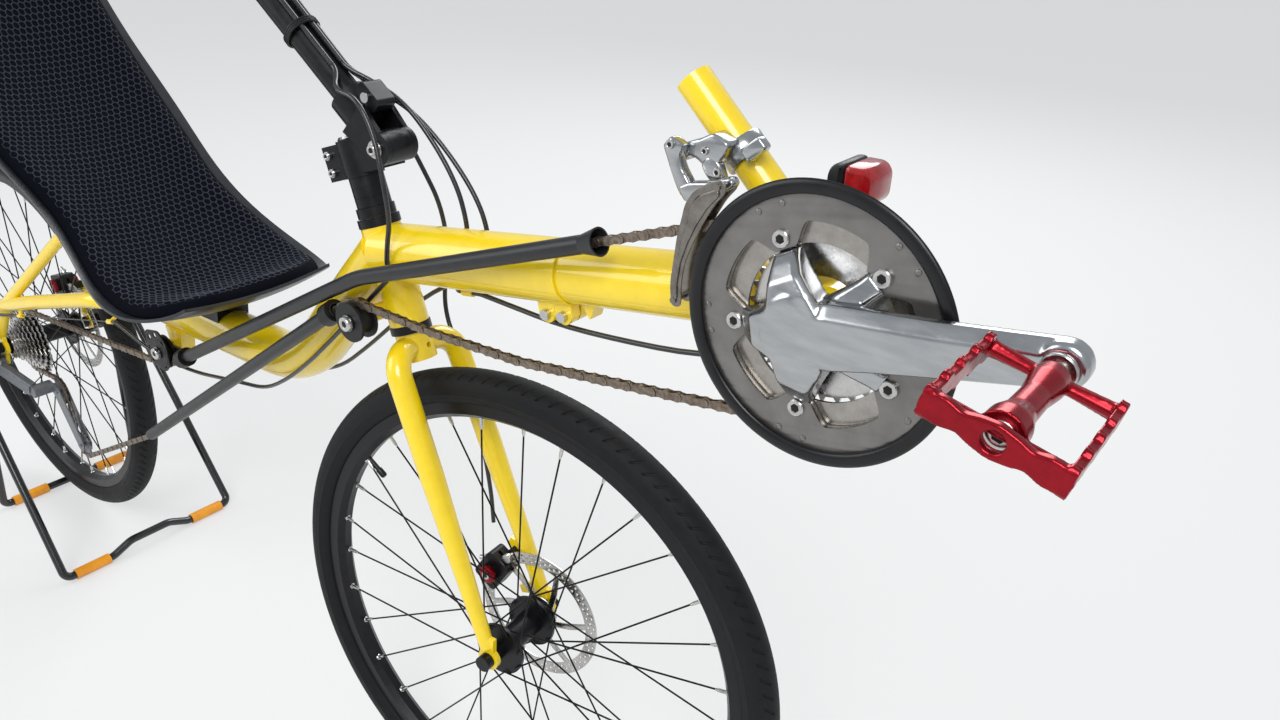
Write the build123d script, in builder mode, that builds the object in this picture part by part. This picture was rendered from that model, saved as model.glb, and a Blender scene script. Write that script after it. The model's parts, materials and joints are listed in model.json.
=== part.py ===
from build123d import *
import math
import os

os.makedirs("parts", exist_ok=True)

# A recumbent bicycle held by its rear-axle paddock stand, in millimetres.
# X points forward, Y to the rider's left, Z up; the origin is on the ground under the front axle.

# Driving dimensions: wheels
tyre_radius = 318.75
tyre_section = 19.6
wheelbase = 1119.0
rear_lift = 12.35
bead_radius = 279.5
rim_width = 24.0
rim_depth = 19.0
rotor_radius = 80.0
spoke_count = 32
spoke_radius = 1.0
rear_old = 135.0
front_old = 100.0

# Driving dimensions: frame, steering and seat
head_angle = 70.5
rest_steer = 7.5
head_x = -150.0
head_z = 660.0
head_length = 106.0
head_radius = 21.0
steerer_radius = 14.3
boom_radius = 27.75
boom_fit = 0.25
main_wall = 2.0
main_radius = boom_radius + boom_fit + main_wall
boom_end_x = 82.0
boom_slope = 10.6
socket_depth = 120.0
bottom_x = 344.6
bottom_z = 831.2
shell_radius = 24.0
shell_half = 34.0
post_radius = 14.3
post_angle = 137.5
post_length = 203.0
stay_radius = 11.0
upper_stay_radius = 9.0
dropout_thick = 6.0
riser_radius = 14.3
riser_rise = 39.3
riser_length = 400.0
bar_radius = 11.1
bar_half = 210.0
shell_thick = 4.0
pad_thick = 18.0

# Driving dimensions: chainset, chain and stand
crank_length = 170.0
crank_angle = 12.5
ring_line = -45.0
ring_step = 6.5
bolt_circle = 65.0
guard_radius = 103.6
chain_pitch = 12.7
chain_half = 2.9
chain_height = 8.4
tooth_root = 3.9
tooth_tip = 2.2
guide_tube_radius = 8.0
guide_tube_bore = 6.5
stand_rod = 6.5
stand_level = 9.0
housing_radius = 2.5
gap = 0.3

# Places worked out from the driving dimensions
front_axle = Vector(0, 0, tyre_radius)
rear_axle = Vector(-wheelbase, 0, tyre_radius + rear_lift)
bottom = Vector(bottom_x, 0, bottom_z)
up_axis = Vector(-math.cos(math.radians(head_angle)), 0, math.sin(math.radians(head_angle)))
fore_axis = Vector(math.sin(math.radians(head_angle)), 0, math.cos(math.radians(head_angle)))
head_base = Vector(head_x, 0, head_z)
steering_axis = Axis(tuple(head_base), tuple(up_axis))
boom_tilt = math.radians(boom_slope)
boom_axis = Vector(math.cos(boom_tilt), 0, math.sin(boom_tilt))
boom_down = Vector(math.sin(boom_tilt), 0, -math.cos(boom_tilt))
post_axis = Vector(math.cos(math.radians(post_angle)), 0, math.sin(math.radians(post_angle)))


def on_boom(x, drop=0.0, side=0.0):
    """A point by its x along the boom, below its middle line and to the left of it."""
    return bottom + boom_axis * ((x - bottom_x) / math.cos(boom_tilt)) + boom_down * drop + Vector(0, side, 0)


def on_head(height, forward=0.0, side=0.0):
    """A point of the steering, by its height along the head, forward and to the left of it."""
    return head_base + up_axis * height + fore_axis * forward + Vector(0, side, 0)


def along(start, direction, side=(0, 1, 0)):
    """A plane at start that looks along direction, with its own x along side."""
    return Plane(origin=tuple(start), x_dir=side, z_dir=tuple(direction))


def from_right(centre, turned=(1, 0, 0)):
    """A plane across the bicycle as seen from its right, with its own x along turned."""
    return Plane(origin=tuple(centre), x_dir=tuple(turned), z_dir=(0, -1, 0))


def add_tube(points, radius, bends=None, bore=0.0, mode=Mode.ADD):
    """Sweep a round bar or tube along straight runs joined by arcs, in the part being built."""
    with BuildLine() as path:
        if bends is None:
            Polyline(*[tuple(point) for point in points])
        else:
            FilletPolyline(*[tuple(point) for point in points], radius=bends)
    with BuildSketch(Plane(origin=path.line @ 0, z_dir=path.line % 0)) as section:
        Circle(radius)
        if bore > 0:
            Circle(bore, mode=Mode.SUBTRACT)
    sweep(section.sketch, path=path.line, mode=mode)


def bend_radii(points, share=0.45):
    """Arc radii for a cable: a share of the shorter run over the tangent of half the turn."""
    radii = []
    for before, corner, after in zip(points, points[1:], points[2:]):
        turn = math.radians((corner - before).get_angle(after - corner))
        run = min((corner - before).length, (after - corner).length)
        radii.append(share * run / math.tan(turn / 2))
    return radii


def add_cable(points, radius=housing_radius):
    """A cable's housing through a list of points, with arcs as large as its runs allow."""
    route = [Vector(*point) for point in points]
    add_tube(route, radius, bend_radii(route))


def disc(centre, y_from, y_to, radius, mode=Mode.ADD):
    """A round disc across the bicycle, from one y to another."""
    low, high = sorted((y_from, y_to))
    with BuildSketch(from_right((centre.X, high, centre.Z))) as section:
        Circle(radius)
    extrude(section.sketch, amount=high - low, mode=mode)


def plate(corners, y_from, y_to, rounding=0.0, mode=Mode.ADD):
    """A flat plate across the bicycle from its corners as (x, z) and two y, its corners rounded."""
    low, high = sorted((y_from, y_to))
    with BuildSketch(Plane(origin=(0, high, 0), x_dir=(1, 0, 0), z_dir=(0, -1, 0))) as section:
        with BuildLine():
            Polyline(*corners, close=True)
        make_face()
        if rounding > 0:
            fillet(section.vertices(), rounding)
    extrude(section.sketch, amount=high - low, mode=mode)


def rod(start, finish, radius, mode=Mode.ADD):
    """A straight round bar between two points."""
    with BuildSketch(Plane(origin=tuple(start), z_dir=tuple(finish - start))) as section:
        Circle(radius)
    extrude(section.sketch, amount=(finish - start).length, mode=mode)


def cone(start, finish, start_radius, finish_radius, mode=Mode.ADD):
    """A cone between two points, by its radius at each."""
    with BuildSketch(Plane(origin=tuple(start), z_dir=tuple(finish - start))) as first:
        Circle(start_radius)
    with BuildSketch(Plane(origin=tuple(finish), z_dir=tuple(finish - start))) as last:
        Circle(finish_radius)
    loft([first.sketch, last.sketch], mode=mode)


def turned(point):
    """Where a point that rides on the steering stands with the wheel as it is parked."""
    return head_base + (point - head_base).rotate(steering_axis, rest_steer)


def untwisted(point):
    """The place, before the wheel is turned, of a point given as the photograph shows it."""
    return head_base + (Vector(*point) - head_base).rotate(steering_axis, -rest_steer)


def write(piece, name, steered=False):
    """Label a finished piece and write it, turned with the steering if it rides on it."""
    shape = piece.part.rotate(steering_axis, rest_steer) if steered else piece.part
    shape.label = name
    export_step(shape, f"parts/{name}.step")
    print(name, round(shape.volume), len(shape.solids()))


# The chain's line, which its guide tubes follow: round the middle ring, back along the upper
# tube, under the idler, round the sprocket and the two pulleys, and forward over the front idler.
# Columns: x, y, z, radius, turn (1 with the chain round the ring, -1 the other way, 0 a bend)
ring_radius = chain_pitch * 39 / (2 * math.pi)
sprocket_radius = chain_pitch * 28 / (2 * math.pi)
sprocket_line = -30.35
pulley_radius = chain_pitch * 11 / (2 * math.pi)
idler_radius = 20.5
front_idler = Vector(-172, -50, 673)
rear_idler = Vector(-613, -47, 486)
guide_pulley = Vector(rear_axle.X + 84, -32, rear_axle.Z - 69.1)
tension_pulley = Vector(rear_axle.X + 129, -32, rear_axle.Z - 155.1)
chain_guides = (
    (bottom_x, ring_line, bottom_z, ring_radius, 1),
    (-160, -54, 724, 0, 0),
    (rear_idler.X, rear_idler.Y, rear_idler.Z, idler_radius, -1),
    (rear_axle.X, sprocket_line, rear_axle.Z, sprocket_radius, 1),
    (guide_pulley.X, guide_pulley.Y, guide_pulley.Z, pulley_radius, -1),
    (tension_pulley.X, tension_pulley.Y, tension_pulley.Z, pulley_radius, 1),
    (-708, -47, 313, 0, 0),
    (front_idler.X, front_idler.Y, front_idler.Z, idler_radius, -1),
    (-60, -49, 695, 0, 0),
    (60, -48, 704, 0, 0),
    (200, -47, 727, 0, 0),
)
toothed_guides = (0, 3, 4, 5)


def chain_run(first, second):
    """The straight run between two guides: its start and its end on them."""
    x1, y1, z1, radius1, turn1 = first
    x2, y2, z2, radius2, turn2 = second
    across = math.hypot(x2 - x1, z2 - z1)
    heading = math.atan2(z2 - z1, x2 - x1) + math.asin((turn1 * radius1 - turn2 * radius2) / across)
    off = Vector(math.sin(heading), 0, -math.cos(heading))
    return Vector(x1, y1, z1) + off * (turn1 * radius1), Vector(x2, y2, z2) + off * (turn2 * radius2)


def at_x(run, x):
    """The point of a run at a given x."""
    start, finish = run
    return start + (finish - start) * ((x - start.X) / (finish.X - start.X))


chain_runs = [chain_run(guide, chain_guides[(k + 1) % len(chain_guides)])
              for k, guide in enumerate(chain_guides)]
upper_mouth = at_x(chain_runs[0], 141)
upper_bend = Vector(*chain_guides[1][:3])
upper_end = at_x(chain_runs[1], -564)
lower_front = at_x(chain_runs[6], -206)
lower_end = at_x(chain_runs[6], -699)

# Main frame: front tube with its split socket and clamp lugs, head tube, the tube that drops
# under the seat, and the bosses that carry the two idlers
drop_corner = Vector(-350, 0, 540)
drop_end = Vector(-650, 0, 527)
drop_bend = 160.0
drop_axis = (drop_end - drop_corner).normalized()
front_start = head_x - 26
lug_places = (52.0, 72.0)
lug_drop = main_radius + 8
lug_radius = 8.5
lug_width = 24.0
slot_half = 1.2
bolt_radius = 3.0
head_bore = steerer_radius + 2.7
boss_end = -35.7
cable_stop_x = -62.0
stop_drop = main_radius + 3.5
with BuildPart() as main_frame:
    rod(on_boom(front_start), on_boom(boom_end_x), main_radius)
    add_tube([on_boom(front_start), drop_corner, drop_end], main_radius - 0.5, [drop_bend])
    rod(on_head(0), on_head(head_length), head_radius)
    disc(front_idler, -10, boss_end, 9)
    disc(rear_idler, -8, boss_end, 13)
    plate([(rear_idler.X - 13, rear_idler.Z), (rear_idler.X + 13, rear_idler.Z),
           (rear_idler.X + 20, 510), (rear_idler.X - 20, 512)], -8, -28)
    for lug_x in lug_places:
        disc(on_boom(lug_x, lug_drop), -lug_width / 2, lug_width / 2, lug_radius)
        with BuildSketch(from_right(on_boom(lug_x, (lug_drop + main_radius - 4) / 2), boom_axis)):
            Rectangle(2 * lug_radius + 3, lug_drop - main_radius + 6)
        extrude(amount=lug_width / 2, both=True)
    rod(on_boom(cable_stop_x - 8, stop_drop), on_boom(cable_stop_x + 6, stop_drop), 4)
    rod(on_boom(boom_end_x - socket_depth), on_boom(boom_end_x + 5), boom_radius + boom_fit, Mode.SUBTRACT)
    with BuildSketch(from_right(on_boom(boom_end_x - 36, main_radius + 10), boom_axis)):
        Rectangle(82, 40)
    extrude(amount=slot_half, both=True, mode=Mode.SUBTRACT)
    for lug_x in lug_places:
        disc(on_boom(lug_x, lug_drop), -lug_width, lug_width, bolt_radius + 0.2, Mode.SUBTRACT)
    disc(front_idler, -10, boss_end - 1, 4.2, Mode.SUBTRACT)
    disc(rear_idler, -12, boss_end - 1, 4.2, Mode.SUBTRACT)
    rod(on_head(-30), on_head(head_length + 30), head_bore, Mode.SUBTRACT)
write(main_frame, "main_frame")

with BuildPart() as clamp_bolts:
    for lug_x in lug_places:
        spot = on_boom(lug_x, lug_drop)
        disc(spot, -lug_width / 2 - 4, lug_width / 2 + 4, bolt_radius)
        disc(spot, -lug_width / 2 - 5, -lug_width / 2 - gap, 5.0)
        disc(spot, lug_width / 2 + gap, lug_width / 2 + 5, 5.0)
write(clamp_bolts, "clamp_bolts")

# Boom with its stop lug, the bottom bracket shell and the post that carries the front derailleur
with BuildPart() as boom:
    rod(on_boom(boom_end_x - socket_depth + 6), bottom, boom_radius)
    rod(bottom, bottom + post_axis * post_length, post_radius)
    fillet(boom.faces().sort_by(Axis(tuple(bottom), tuple(post_axis)))[-1].edges(), 4)
    with BuildSketch(from_right(on_boom(boom_end_x + 17, 31), boom_axis)):
        Trapezoid(18, 16, 62, rotation=180)
    extrude(amount=8, both=True)
    disc(bottom, -shell_half, shell_half, shell_radius)
    disc(bottom, -shell_half - 1, shell_half + 1, 13.0, Mode.SUBTRACT)
    rod(bottom + boom_axis * shell_radius, bottom + boom_axis * 2 * shell_radius, 2 * main_radius,
        Mode.SUBTRACT)
write(boom, "boom")

# Rear stays: the lower and upper pair, the yoke at the main tube's end, the dropouts, the
# derailleur's hanger, the brake's tab and the strut up to the seat
stay_half = rear_old / 2 + dropout_thick / 2
saddle_joint = Vector(-772, 0, 648)
stay_join = Vector(rear_axle.X + 55, stay_half, rear_axle.Z + 92.9)
yoke = drop_end + drop_axis * 24
hanger = rear_axle + Vector(-8, -stay_half, -27)
axle_slot = 5.2
wire_front = Vector(-708, -66, 506)
wire_rear = Vector(rear_axle.X + 114, -73, rear_axle.Z + 92.9)
wire_run = (wire_front - wire_rear).normalized()
rear_caliper_angle = 105.0
with BuildPart() as rear_stays:
    for side in (-1, 1):
        near = yoke + Vector(6, side * 22, 0)
        shoulder = Vector(-770, side * 60, 518)
        haunch = Vector(rear_axle.X + 189, side * 68, rear_axle.Z + 137.9)
        join = Vector(stay_join.X, side * stay_join.Y, stay_join.Z)
        heel = Vector(rear_axle.X, side * stay_half, rear_axle.Z + 22)
        add_tube([near, shoulder, haunch, join], stay_radius, [80, 200])
        add_tube([haunch + (join - haunch) * 0.93, join, heel], stay_radius - 2.5, [6])
        disc(join, join.Y - 3, join.Y + 3, stay_radius)
        rod(join, Vector(saddle_joint.X, side * 40, saddle_joint.Z), upper_stay_radius)
        inner, outer = side * (stay_half - dropout_thick / 2), side * (stay_half + dropout_thick / 2)
        disc(rear_axle, inner, outer, 15)
        plate([(rear_axle.X - 10, rear_axle.Z), (rear_axle.X + 10, rear_axle.Z),
               (rear_axle.X + 10, rear_axle.Z + 32), (rear_axle.X - 10, rear_axle.Z + 32)], inner, outer)
    disc(hanger, -stay_half - 3, -stay_half + 3, 9)
    plate([(hanger.X - 9, hanger.Z), (hanger.X + 9, hanger.Z), (rear_axle.X + 12, rear_axle.Z),
           (rear_axle.X - 13, rear_axle.Z)], -stay_half - 3, -stay_half + 3)
    plate([(rear_axle.X - 14, rear_axle.Z + 6), (rear_axle.X + 8, rear_axle.Z + 30),
           (rear_axle.X + 22, rear_axle.Z + 74), (rear_axle.X + 8, rear_axle.Z + 78),
           (rear_axle.X - 10, rear_axle.Z + 52), (rear_axle.X - 44, rear_axle.Z + 62),
           (rear_axle.X - 48, rear_axle.Z + 50), (rear_axle.X - 22, rear_axle.Z + 30)],
          stay_half - 3, stay_half + 3)
    disc(saddle_joint, -48, 48, upper_stay_radius + 1)
    rod(drop_end, yoke + drop_axis * 4, main_radius - 0.5)
    disc(yoke, -44, 44, 12)
    rod(yoke, saddle_joint, 14)
    disc(Vector(-775, 0, 515), -60, 60, 7)
    for stop, on_stay in ((wire_front, Vector(-708, -37, 523)), (wire_rear, wire_rear + Vector(0, 3, 20))):
        rod(stop - wire_run * 7, stop + wire_run * 7, 3.5)
        rod(stop, on_stay, 2.5)
    for side in (-1, 1):
        disc(rear_axle, side * (stay_half - 8), side * (stay_half + 8), axle_slot, Mode.SUBTRACT)
    disc(hanger, -stay_half - 8, -stay_half + 8, 4.2, Mode.SUBTRACT)
    rod(drop_end, drop_end - drop_axis * 80, main_radius + 20, Mode.SUBTRACT)
write(rear_stays, "rear_stays")

# Bottom bracket cups and the crank spindle
spindle_radius = 9.0
with BuildPart() as bracket_cups:
    for side in (-1, 1):
        disc(bottom, side * (shell_half + 0.1), side * (shell_half + 10), 19)
        disc(bottom, side * (shell_half - 14), side * (shell_half + 10), 12.8)
    disc(bottom, -60, 60, spindle_radius + 0.2, Mode.SUBTRACT)
write(bracket_cups, "bracket_cups")

crank_dir = Vector(math.cos(math.radians(crank_angle)), 0, math.sin(math.radians(crank_angle)))
pedal_right = bottom + crank_dir * crank_length
pedal_left = bottom - crank_dir * crank_length
crank_out = 63.0
arm_thick = 14.0
eye_radius = 7.2
with BuildPart() as spindle:
    disc(bottom, -crank_out - arm_thick + 1, crank_out + arm_thick - 1, spindle_radius)
write(spindle, "spindle")

# Cranks. The right one carries the five-armed spider, with the crank between two of its arms
spider_turns = [math.radians(crank_angle + 36 + 72 * k) for k in range(5)]
spider_spots = [bottom + Vector(math.cos(turn), 0, math.sin(turn)) * bolt_circle for turn in spider_turns]
spider_thick = 8.0
arm_root = 18.5
arm_tip = 15.0


def crank_arm(direction, y_in, y_out):
    """A crank arm that tapers from the spindle to the pedal's eye, with its outer edges eased."""
    low, high = sorted((y_in, y_out))
    with BuildSketch(from_right((bottom.X, high, bottom.Z), direction)) as section:
        Circle(arm_root)
        with Locations((crank_length, 0)):
            Circle(arm_tip)
        with BuildLine():
            Polyline((0, -arm_root), (crank_length, -arm_tip), (crank_length, arm_tip), (0, arm_root),
                     close=True)
        make_face()
    extrude(section.sketch, amount=high - low)


with BuildPart() as crank_right:
    crank_arm(crank_dir, -crank_out, -crank_out - arm_thick)
    fillet(crank_right.faces().sort_by(Axis.Y)[0].edges(), 3)
    with BuildSketch(from_right((bottom.X, spider_thick - crank_out, bottom.Z))):
        Circle(30)
        for turn in spider_turns:
            with Locations((bolt_circle * math.cos(turn), bolt_circle * math.sin(turn))):
                Circle(9)
        with PolarLocations(bolt_circle / 2, 5, start_angle=crank_angle + 36):
            Trapezoid(34, bolt_circle, 78, rotation=-90)
    extrude(amount=spider_thick)
    for turn in spider_turns:
        tab = bottom + Vector(math.cos(turn), 0, math.sin(turn)) * 38
        disc(tab, -crank_out + spider_thick, ring_line + ring_step - 1.2 - gap, 4.5)
    disc(bottom, -crank_out + spider_thick, -shell_half - 11, 21)
    disc(bottom, -90, 0, spindle_radius + 0.05, Mode.SUBTRACT)
    disc(pedal_right, -90, 0, eye_radius, Mode.SUBTRACT)
write(crank_right, "crank_right")

with BuildPart() as crank_left:
    crank_arm(crank_dir * -1, crank_out, crank_out + arm_thick)
    fillet(crank_left.faces().sort_by(Axis.Y)[-1].edges(), 3)
    disc(bottom, 0, 90, spindle_radius + 0.05, Mode.SUBTRACT)
    disc(pedal_left, 0, 90, eye_radius, Mode.SUBTRACT)
write(crank_left, "crank_left")

# Chainrings. Columns: name, teeth, y of the ring's middle, inner radius, bolted at the bolt circle
ring_table = (
    ("big_ring", 50, ring_line - ring_step, 74.0, True),
    ("middle_ring", 39, ring_line, 58.0, True),
    ("small_ring", 30, ring_line + ring_step, 33.0, False),
)
ring_half = 1.2
for ring_name, teeth, ring_y, inner, bolted in ring_table:
    pitch_radius = chain_pitch * teeth / (2 * math.pi)
    with BuildPart() as ring:
        with BuildSketch(from_right((bottom.X, ring_y, bottom.Z))):
            Circle(pitch_radius - tooth_root)
            with PolarLocations(pitch_radius - tooth_root / 2, teeth):
                Trapezoid(7.5, tooth_root + 2 * tooth_tip, 66, rotation=-90)
            Circle(inner, mode=Mode.SUBTRACT)
            if bolted:
                with PolarLocations(bolt_circle, 5, start_angle=crank_angle + 36):
                    Circle(10)
                with PolarLocations(bolt_circle + 7, 5, start_angle=crank_angle + 36):
                    Rectangle(14, 20)
                with PolarLocations(bolt_circle, 5, start_angle=crank_angle + 36):
                    Circle(5.2, mode=Mode.SUBTRACT)
        extrude(amount=ring_half, both=True)
    write(ring, ring_name)

with BuildPart() as guard:
    disc(bottom, ring_line - ring_step - ring_half - gap, ring_line - ring_step - 5.5, guard_radius)
    fillet(guard.faces().sort_by(Axis.Y)[0].edges(), 2)
    disc(bottom, -90, 0, guard_radius - 11, Mode.SUBTRACT)
write(guard, "chain_guard")

with BuildPart() as ring_bolts:
    for spot in spider_spots:
        disc(spot, ring_line + ring_half + 1, -crank_out + spider_thick + gap, 5.0)
        disc(spot, -crank_out - gap, -crank_out - 2.5, 6.5)
        disc(spot, -crank_out - 1.5, -crank_out - 4, 3.0, Mode.SUBTRACT)
write(ring_bolts, "ring_bolts")

# Pedals: an axle on each crank and a cage that turns on it. Columns: name, centre, side
pedal_table = (("right", pedal_right, -1), ("left", pedal_left, 1))
pedal_width = 92.0
pedal_length = 84.0
pedal_height = 18.0
pedal_wall = 7.0
pedal_inner = crank_out + arm_thick + 15
pedal_tilt = -12.0
pedal_axle_radius = 4.0
tilt = math.radians(pedal_tilt)
pedal_up = Vector(-math.sin(tilt), 0, math.cos(tilt))
for name, centre, side in pedal_table:
    arm_face = crank_out + arm_thick
    far = pedal_inner + pedal_width
    with BuildPart() as pedal_axle:
        disc(centre, side * (crank_out + 0.5), side * (far - 12), pedal_axle_radius)
        disc(centre, side * (crank_out + 0.5), side * arm_face, eye_radius - 0.1)
        disc(centre, side * (arm_face + 0.5), side * (arm_face + 4), 9.5)
        disc(centre, side * arm_face, side * (pedal_inner - 1), 6.5)
    write(pedal_axle, f"pedal_axle_{name}")
    middle = Plane(origin=(centre.X, side * (pedal_inner + pedal_width / 2), centre.Z),
                   x_dir=(0, 1, 0), z_dir=tuple(pedal_up))
    with BuildPart() as cage:
        with BuildSketch(middle):
            RectangleRounded(pedal_width, pedal_length, 12)
            RectangleRounded(pedal_width - 2 * pedal_wall, pedal_length - 2 * pedal_wall, 7,
                             mode=Mode.SUBTRACT)
            Rectangle(pedal_width, 18)
        extrude(amount=pedal_height / 2, both=True)
        with BuildSketch(middle.offset(-pedal_height)):
            for end in (-1, 1):
                with Locations((0, end * (pedal_length / 2 - 2))):
                    with GridLocations(13, 0, 5, 1):
                        Rectangle(6.5, 12)
        extrude(amount=pedal_height / 2 + 3.5, mode=Mode.SUBTRACT)
        with BuildSketch(middle.offset(pedal_height / 2 - 3.5)):
            for end in (-1, 1):
                with Locations((0, end * (pedal_length / 2 - 2))):
                    with GridLocations(13, 0, 5, 1):
                        Rectangle(6.5, 12)
        extrude(amount=pedal_height, mode=Mode.SUBTRACT)
        disc(centre, side * (pedal_inner + 1), side * (far - 10), 11.5)
        disc(centre, side * (pedal_inner - 10), side * (far - 10), pedal_axle_radius + 0.1, Mode.SUBTRACT)
    write(cage, f"pedal_{name}")

# Wheels. Columns: name, axle, left flange y, right flange y, rotor y, half width between dropouts, steered
wheel_table = (
    ("front", front_axle, 24.0, -34.0, 38.6, front_old / 2, True),
    ("rear", rear_axle, 34.0, -19.4, 51.3, rear_old / 2, False),
)
hub_pitch = 27.0
rim_inner = bead_radius - rim_depth + 5
rotor_half = 0.9
rotor_ring = 15.0
for end, axle, left_y, right_y, rotor_y, half_old, steered in wheel_table:
    turn_axis = Axis(tuple(axle), (0, 1, 0))
    across = Plane(origin=tuple(axle), x_dir=(0, 1, 0), z_dir=(1, 0, 0))
    with BuildPart() as tyre:
        with BuildSketch(across):
            with Locations((0, tyre_radius - tyre_section)):
                Circle(tyre_section)
            with Locations((0, bead_radius - 12)):
                Rectangle(60, 34, mode=Mode.SUBTRACT)
        revolve(axis=turn_axis)
    write(tyre, f"{end}_tyre", steered)
    with BuildPart() as rim:
        with BuildSketch(across):
            with BuildLine():
                Polyline(
                    (-rim_width / 2, bead_radius + 5 - gap), (-rim_width / 2, rim_inner + 6),
                    (-5, rim_inner), (5, rim_inner), (rim_width / 2, rim_inner + 6),
                    (rim_width / 2, bead_radius + 5 - gap), close=True)
            make_face()
        revolve(axis=turn_axis)
    write(rim, f"{end}_rim", steered)
    with BuildPart() as hub:
        disc(axle, -half_old + 2, half_old - 2, 9.5)
        disc(axle, left_y, right_y, 15.0)
        disc(axle, left_y - 2, left_y + 2, hub_pitch + 4)
        disc(axle, right_y - 2, right_y + 2, hub_pitch + 4)
        disc(axle, left_y, rotor_y - rotor_half - gap, 21.0)
        disc(axle, -half_old - 1, half_old + 1, 5.1, Mode.SUBTRACT)
    write(hub, f"{end}_hub", steered)
    with BuildPart() as rotor:
        disc(axle, rotor_y - rotor_half, rotor_y + rotor_half, rotor_radius)
        disc(axle, rotor_y - 2, rotor_y + 2, rotor_radius - rotor_ring, Mode.SUBTRACT)
        with BuildSketch(from_right((axle.X, rotor_y, axle.Z))):
            Circle(24)
            with PolarLocations(42, 6):
                Rectangle(50, 7, rotation=25)
            Circle(16, mode=Mode.SUBTRACT)
        extrude(amount=rotor_half, both=True)
    write(rotor, f"{end}_rotor", steered)
    with BuildPart() as spokes:
        for k in range(spoke_count):
            left = k % 2 == 0
            trailing = (k // 2) % 2 == 0
            at_rim = 2 * math.pi * k / spoke_count
            at_hub = at_rim + math.radians(62 if trailing else -62)
            flange_y = (left_y if left else right_y) + (4.2 if trailing else -4.2)
            start = axle + Vector(hub_pitch * math.cos(at_hub), flange_y, hub_pitch * math.sin(at_hub))
            reach = rim_inner - gap
            finish = axle + Vector(reach * math.cos(at_rim), 2.5 if left else -2.5, reach * math.sin(at_rim))
            rod(start, finish, spoke_radius)
    write(spokes, f"{end}_spokes", steered)
    with BuildPart() as skewer:
        disc(axle, -half_old - 12, half_old + 12, 4.9)
        disc(axle, -half_old - 16, -half_old - dropout_thick - gap, 9.0)
        disc(axle, half_old + dropout_thick + gap, half_old + 16, 9.0)
    write(skewer, f"{end}_axle", steered)

# Cassette: sprockets with pointed teeth, from the hub outward
cassette_teeth = (32, 28, 24, 21, 18, 16, 14, 12, 11)
cassette_step = 4.35
cassette_first = sprocket_line + cassette_step
sprocket_half = 0.9
with BuildPart() as cassette:
    disc(rear_axle, cassette_first + 1, cassette_first - cassette_step * 8 - 2, 17.5)
    for k, teeth in enumerate(cassette_teeth):
        pitch_radius = chain_pitch * teeth / (2 * math.pi)
        valley, tip = pitch_radius - tooth_root, pitch_radius + tooth_tip
        star = []
        for corner in range(2 * teeth):
            reach = tip if corner % 2 == 0 else valley
            turn = math.pi * corner / teeth
            star.append((reach * math.cos(turn), reach * math.sin(turn)))
        y = cassette_first - cassette_step * k
        with BuildSketch(from_right((rear_axle.X, y, rear_axle.Z))):
            with BuildLine():
                Polyline(*star, close=True)
            make_face()
        extrude(amount=sprocket_half, both=True)
    disc(rear_axle, 0, -90, 15.2, Mode.SUBTRACT)
write(cassette, "cassette")

# Fork: steerer, crown with its cross hole, tapered legs, dropouts and the brake's two tabs
knee_place = Vector(-131, 45, 639)
leg_radius = 13.0
leg_foot_radius = 8.0
leg_taper_from = 0.4
crown_hole_radius = 3.1
leg_end_side = front_old / 2 + dropout_thick / 2
front_caliper_angle = 148.0
with BuildPart() as fork:
    rod(on_head(-40), on_head(-9.5), 19)
    rod(on_head(-10), on_head(180), steerer_radius)
    for side in (-1, 1):
        knee = Vector(knee_place.X, side * knee_place.Y, knee_place.Z)
        foot = Vector(front_axle.X - 3, side * leg_end_side, front_axle.Z + 14)
        shin = knee + (foot - knee) * leg_taper_from
        add_tube([on_head(-24, 0, side * 8), knee, shin], leg_radius, [26])
        cone(shin, foot, leg_radius, leg_foot_radius)
        inner, outer = side * front_old / 2, side * (front_old / 2 + dropout_thick)
        disc(front_axle, inner, outer, 13)
        plate([(front_axle.X - 11, front_axle.Z), (front_axle.X + 7, front_axle.Z),
               (front_axle.X + 7, front_axle.Z + 28), (front_axle.X - 11, front_axle.Z + 28)], inner, outer)
    plate([(-6, 344), (-12, 334), (-34, 326), (-38, 335), (-22, 346), (-30, 372), (-56, 388),
           (-52, 397), (-26, 392), (-12, 372)], front_old / 2 + 1, front_old / 2 + 6)
    for side in (-1, 1):
        disc(front_axle, side * (front_old / 2 - 3), side * (front_old / 2 + 14), axle_slot, Mode.SUBTRACT)
        disc(front_axle, side * 30, side * front_old / 2, 16, Mode.SUBTRACT)
    rod(on_head(-26, -40), on_head(-26, 40), crown_hole_radius, Mode.SUBTRACT)
write(fork, "fork", True)

cup_height = 9.0
with BuildPart() as headset_cups:
    for low, high in ((-cup_height, -gap), (head_length + gap, head_length + cup_height)):
        rod(on_head(low), on_head(high), head_radius + 1)
        rod(on_head(low), on_head(high), steerer_radius + 0.4, Mode.SUBTRACT)
write(headset_cups, "headset_cups")

# Stack of spacers and the two-part stem that lets the riser swing
spacer_height = 10.5
spacer_base = head_length + cup_height + 1
stem_base = spacer_base + 4 * spacer_height
with BuildPart() as spacers:
    for k in range(4):
        foot = spacer_base + spacer_height * k
        with BuildSketch(along(on_head(foot), up_axis)):
            Circle(steerer_radius + (3.7 if k else 5.7))
            Circle(steerer_radius + 0.2, mode=Mode.SUBTRACT)
        extrude(amount=spacer_height - 0.2)
write(spacers, "spacers", True)

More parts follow.
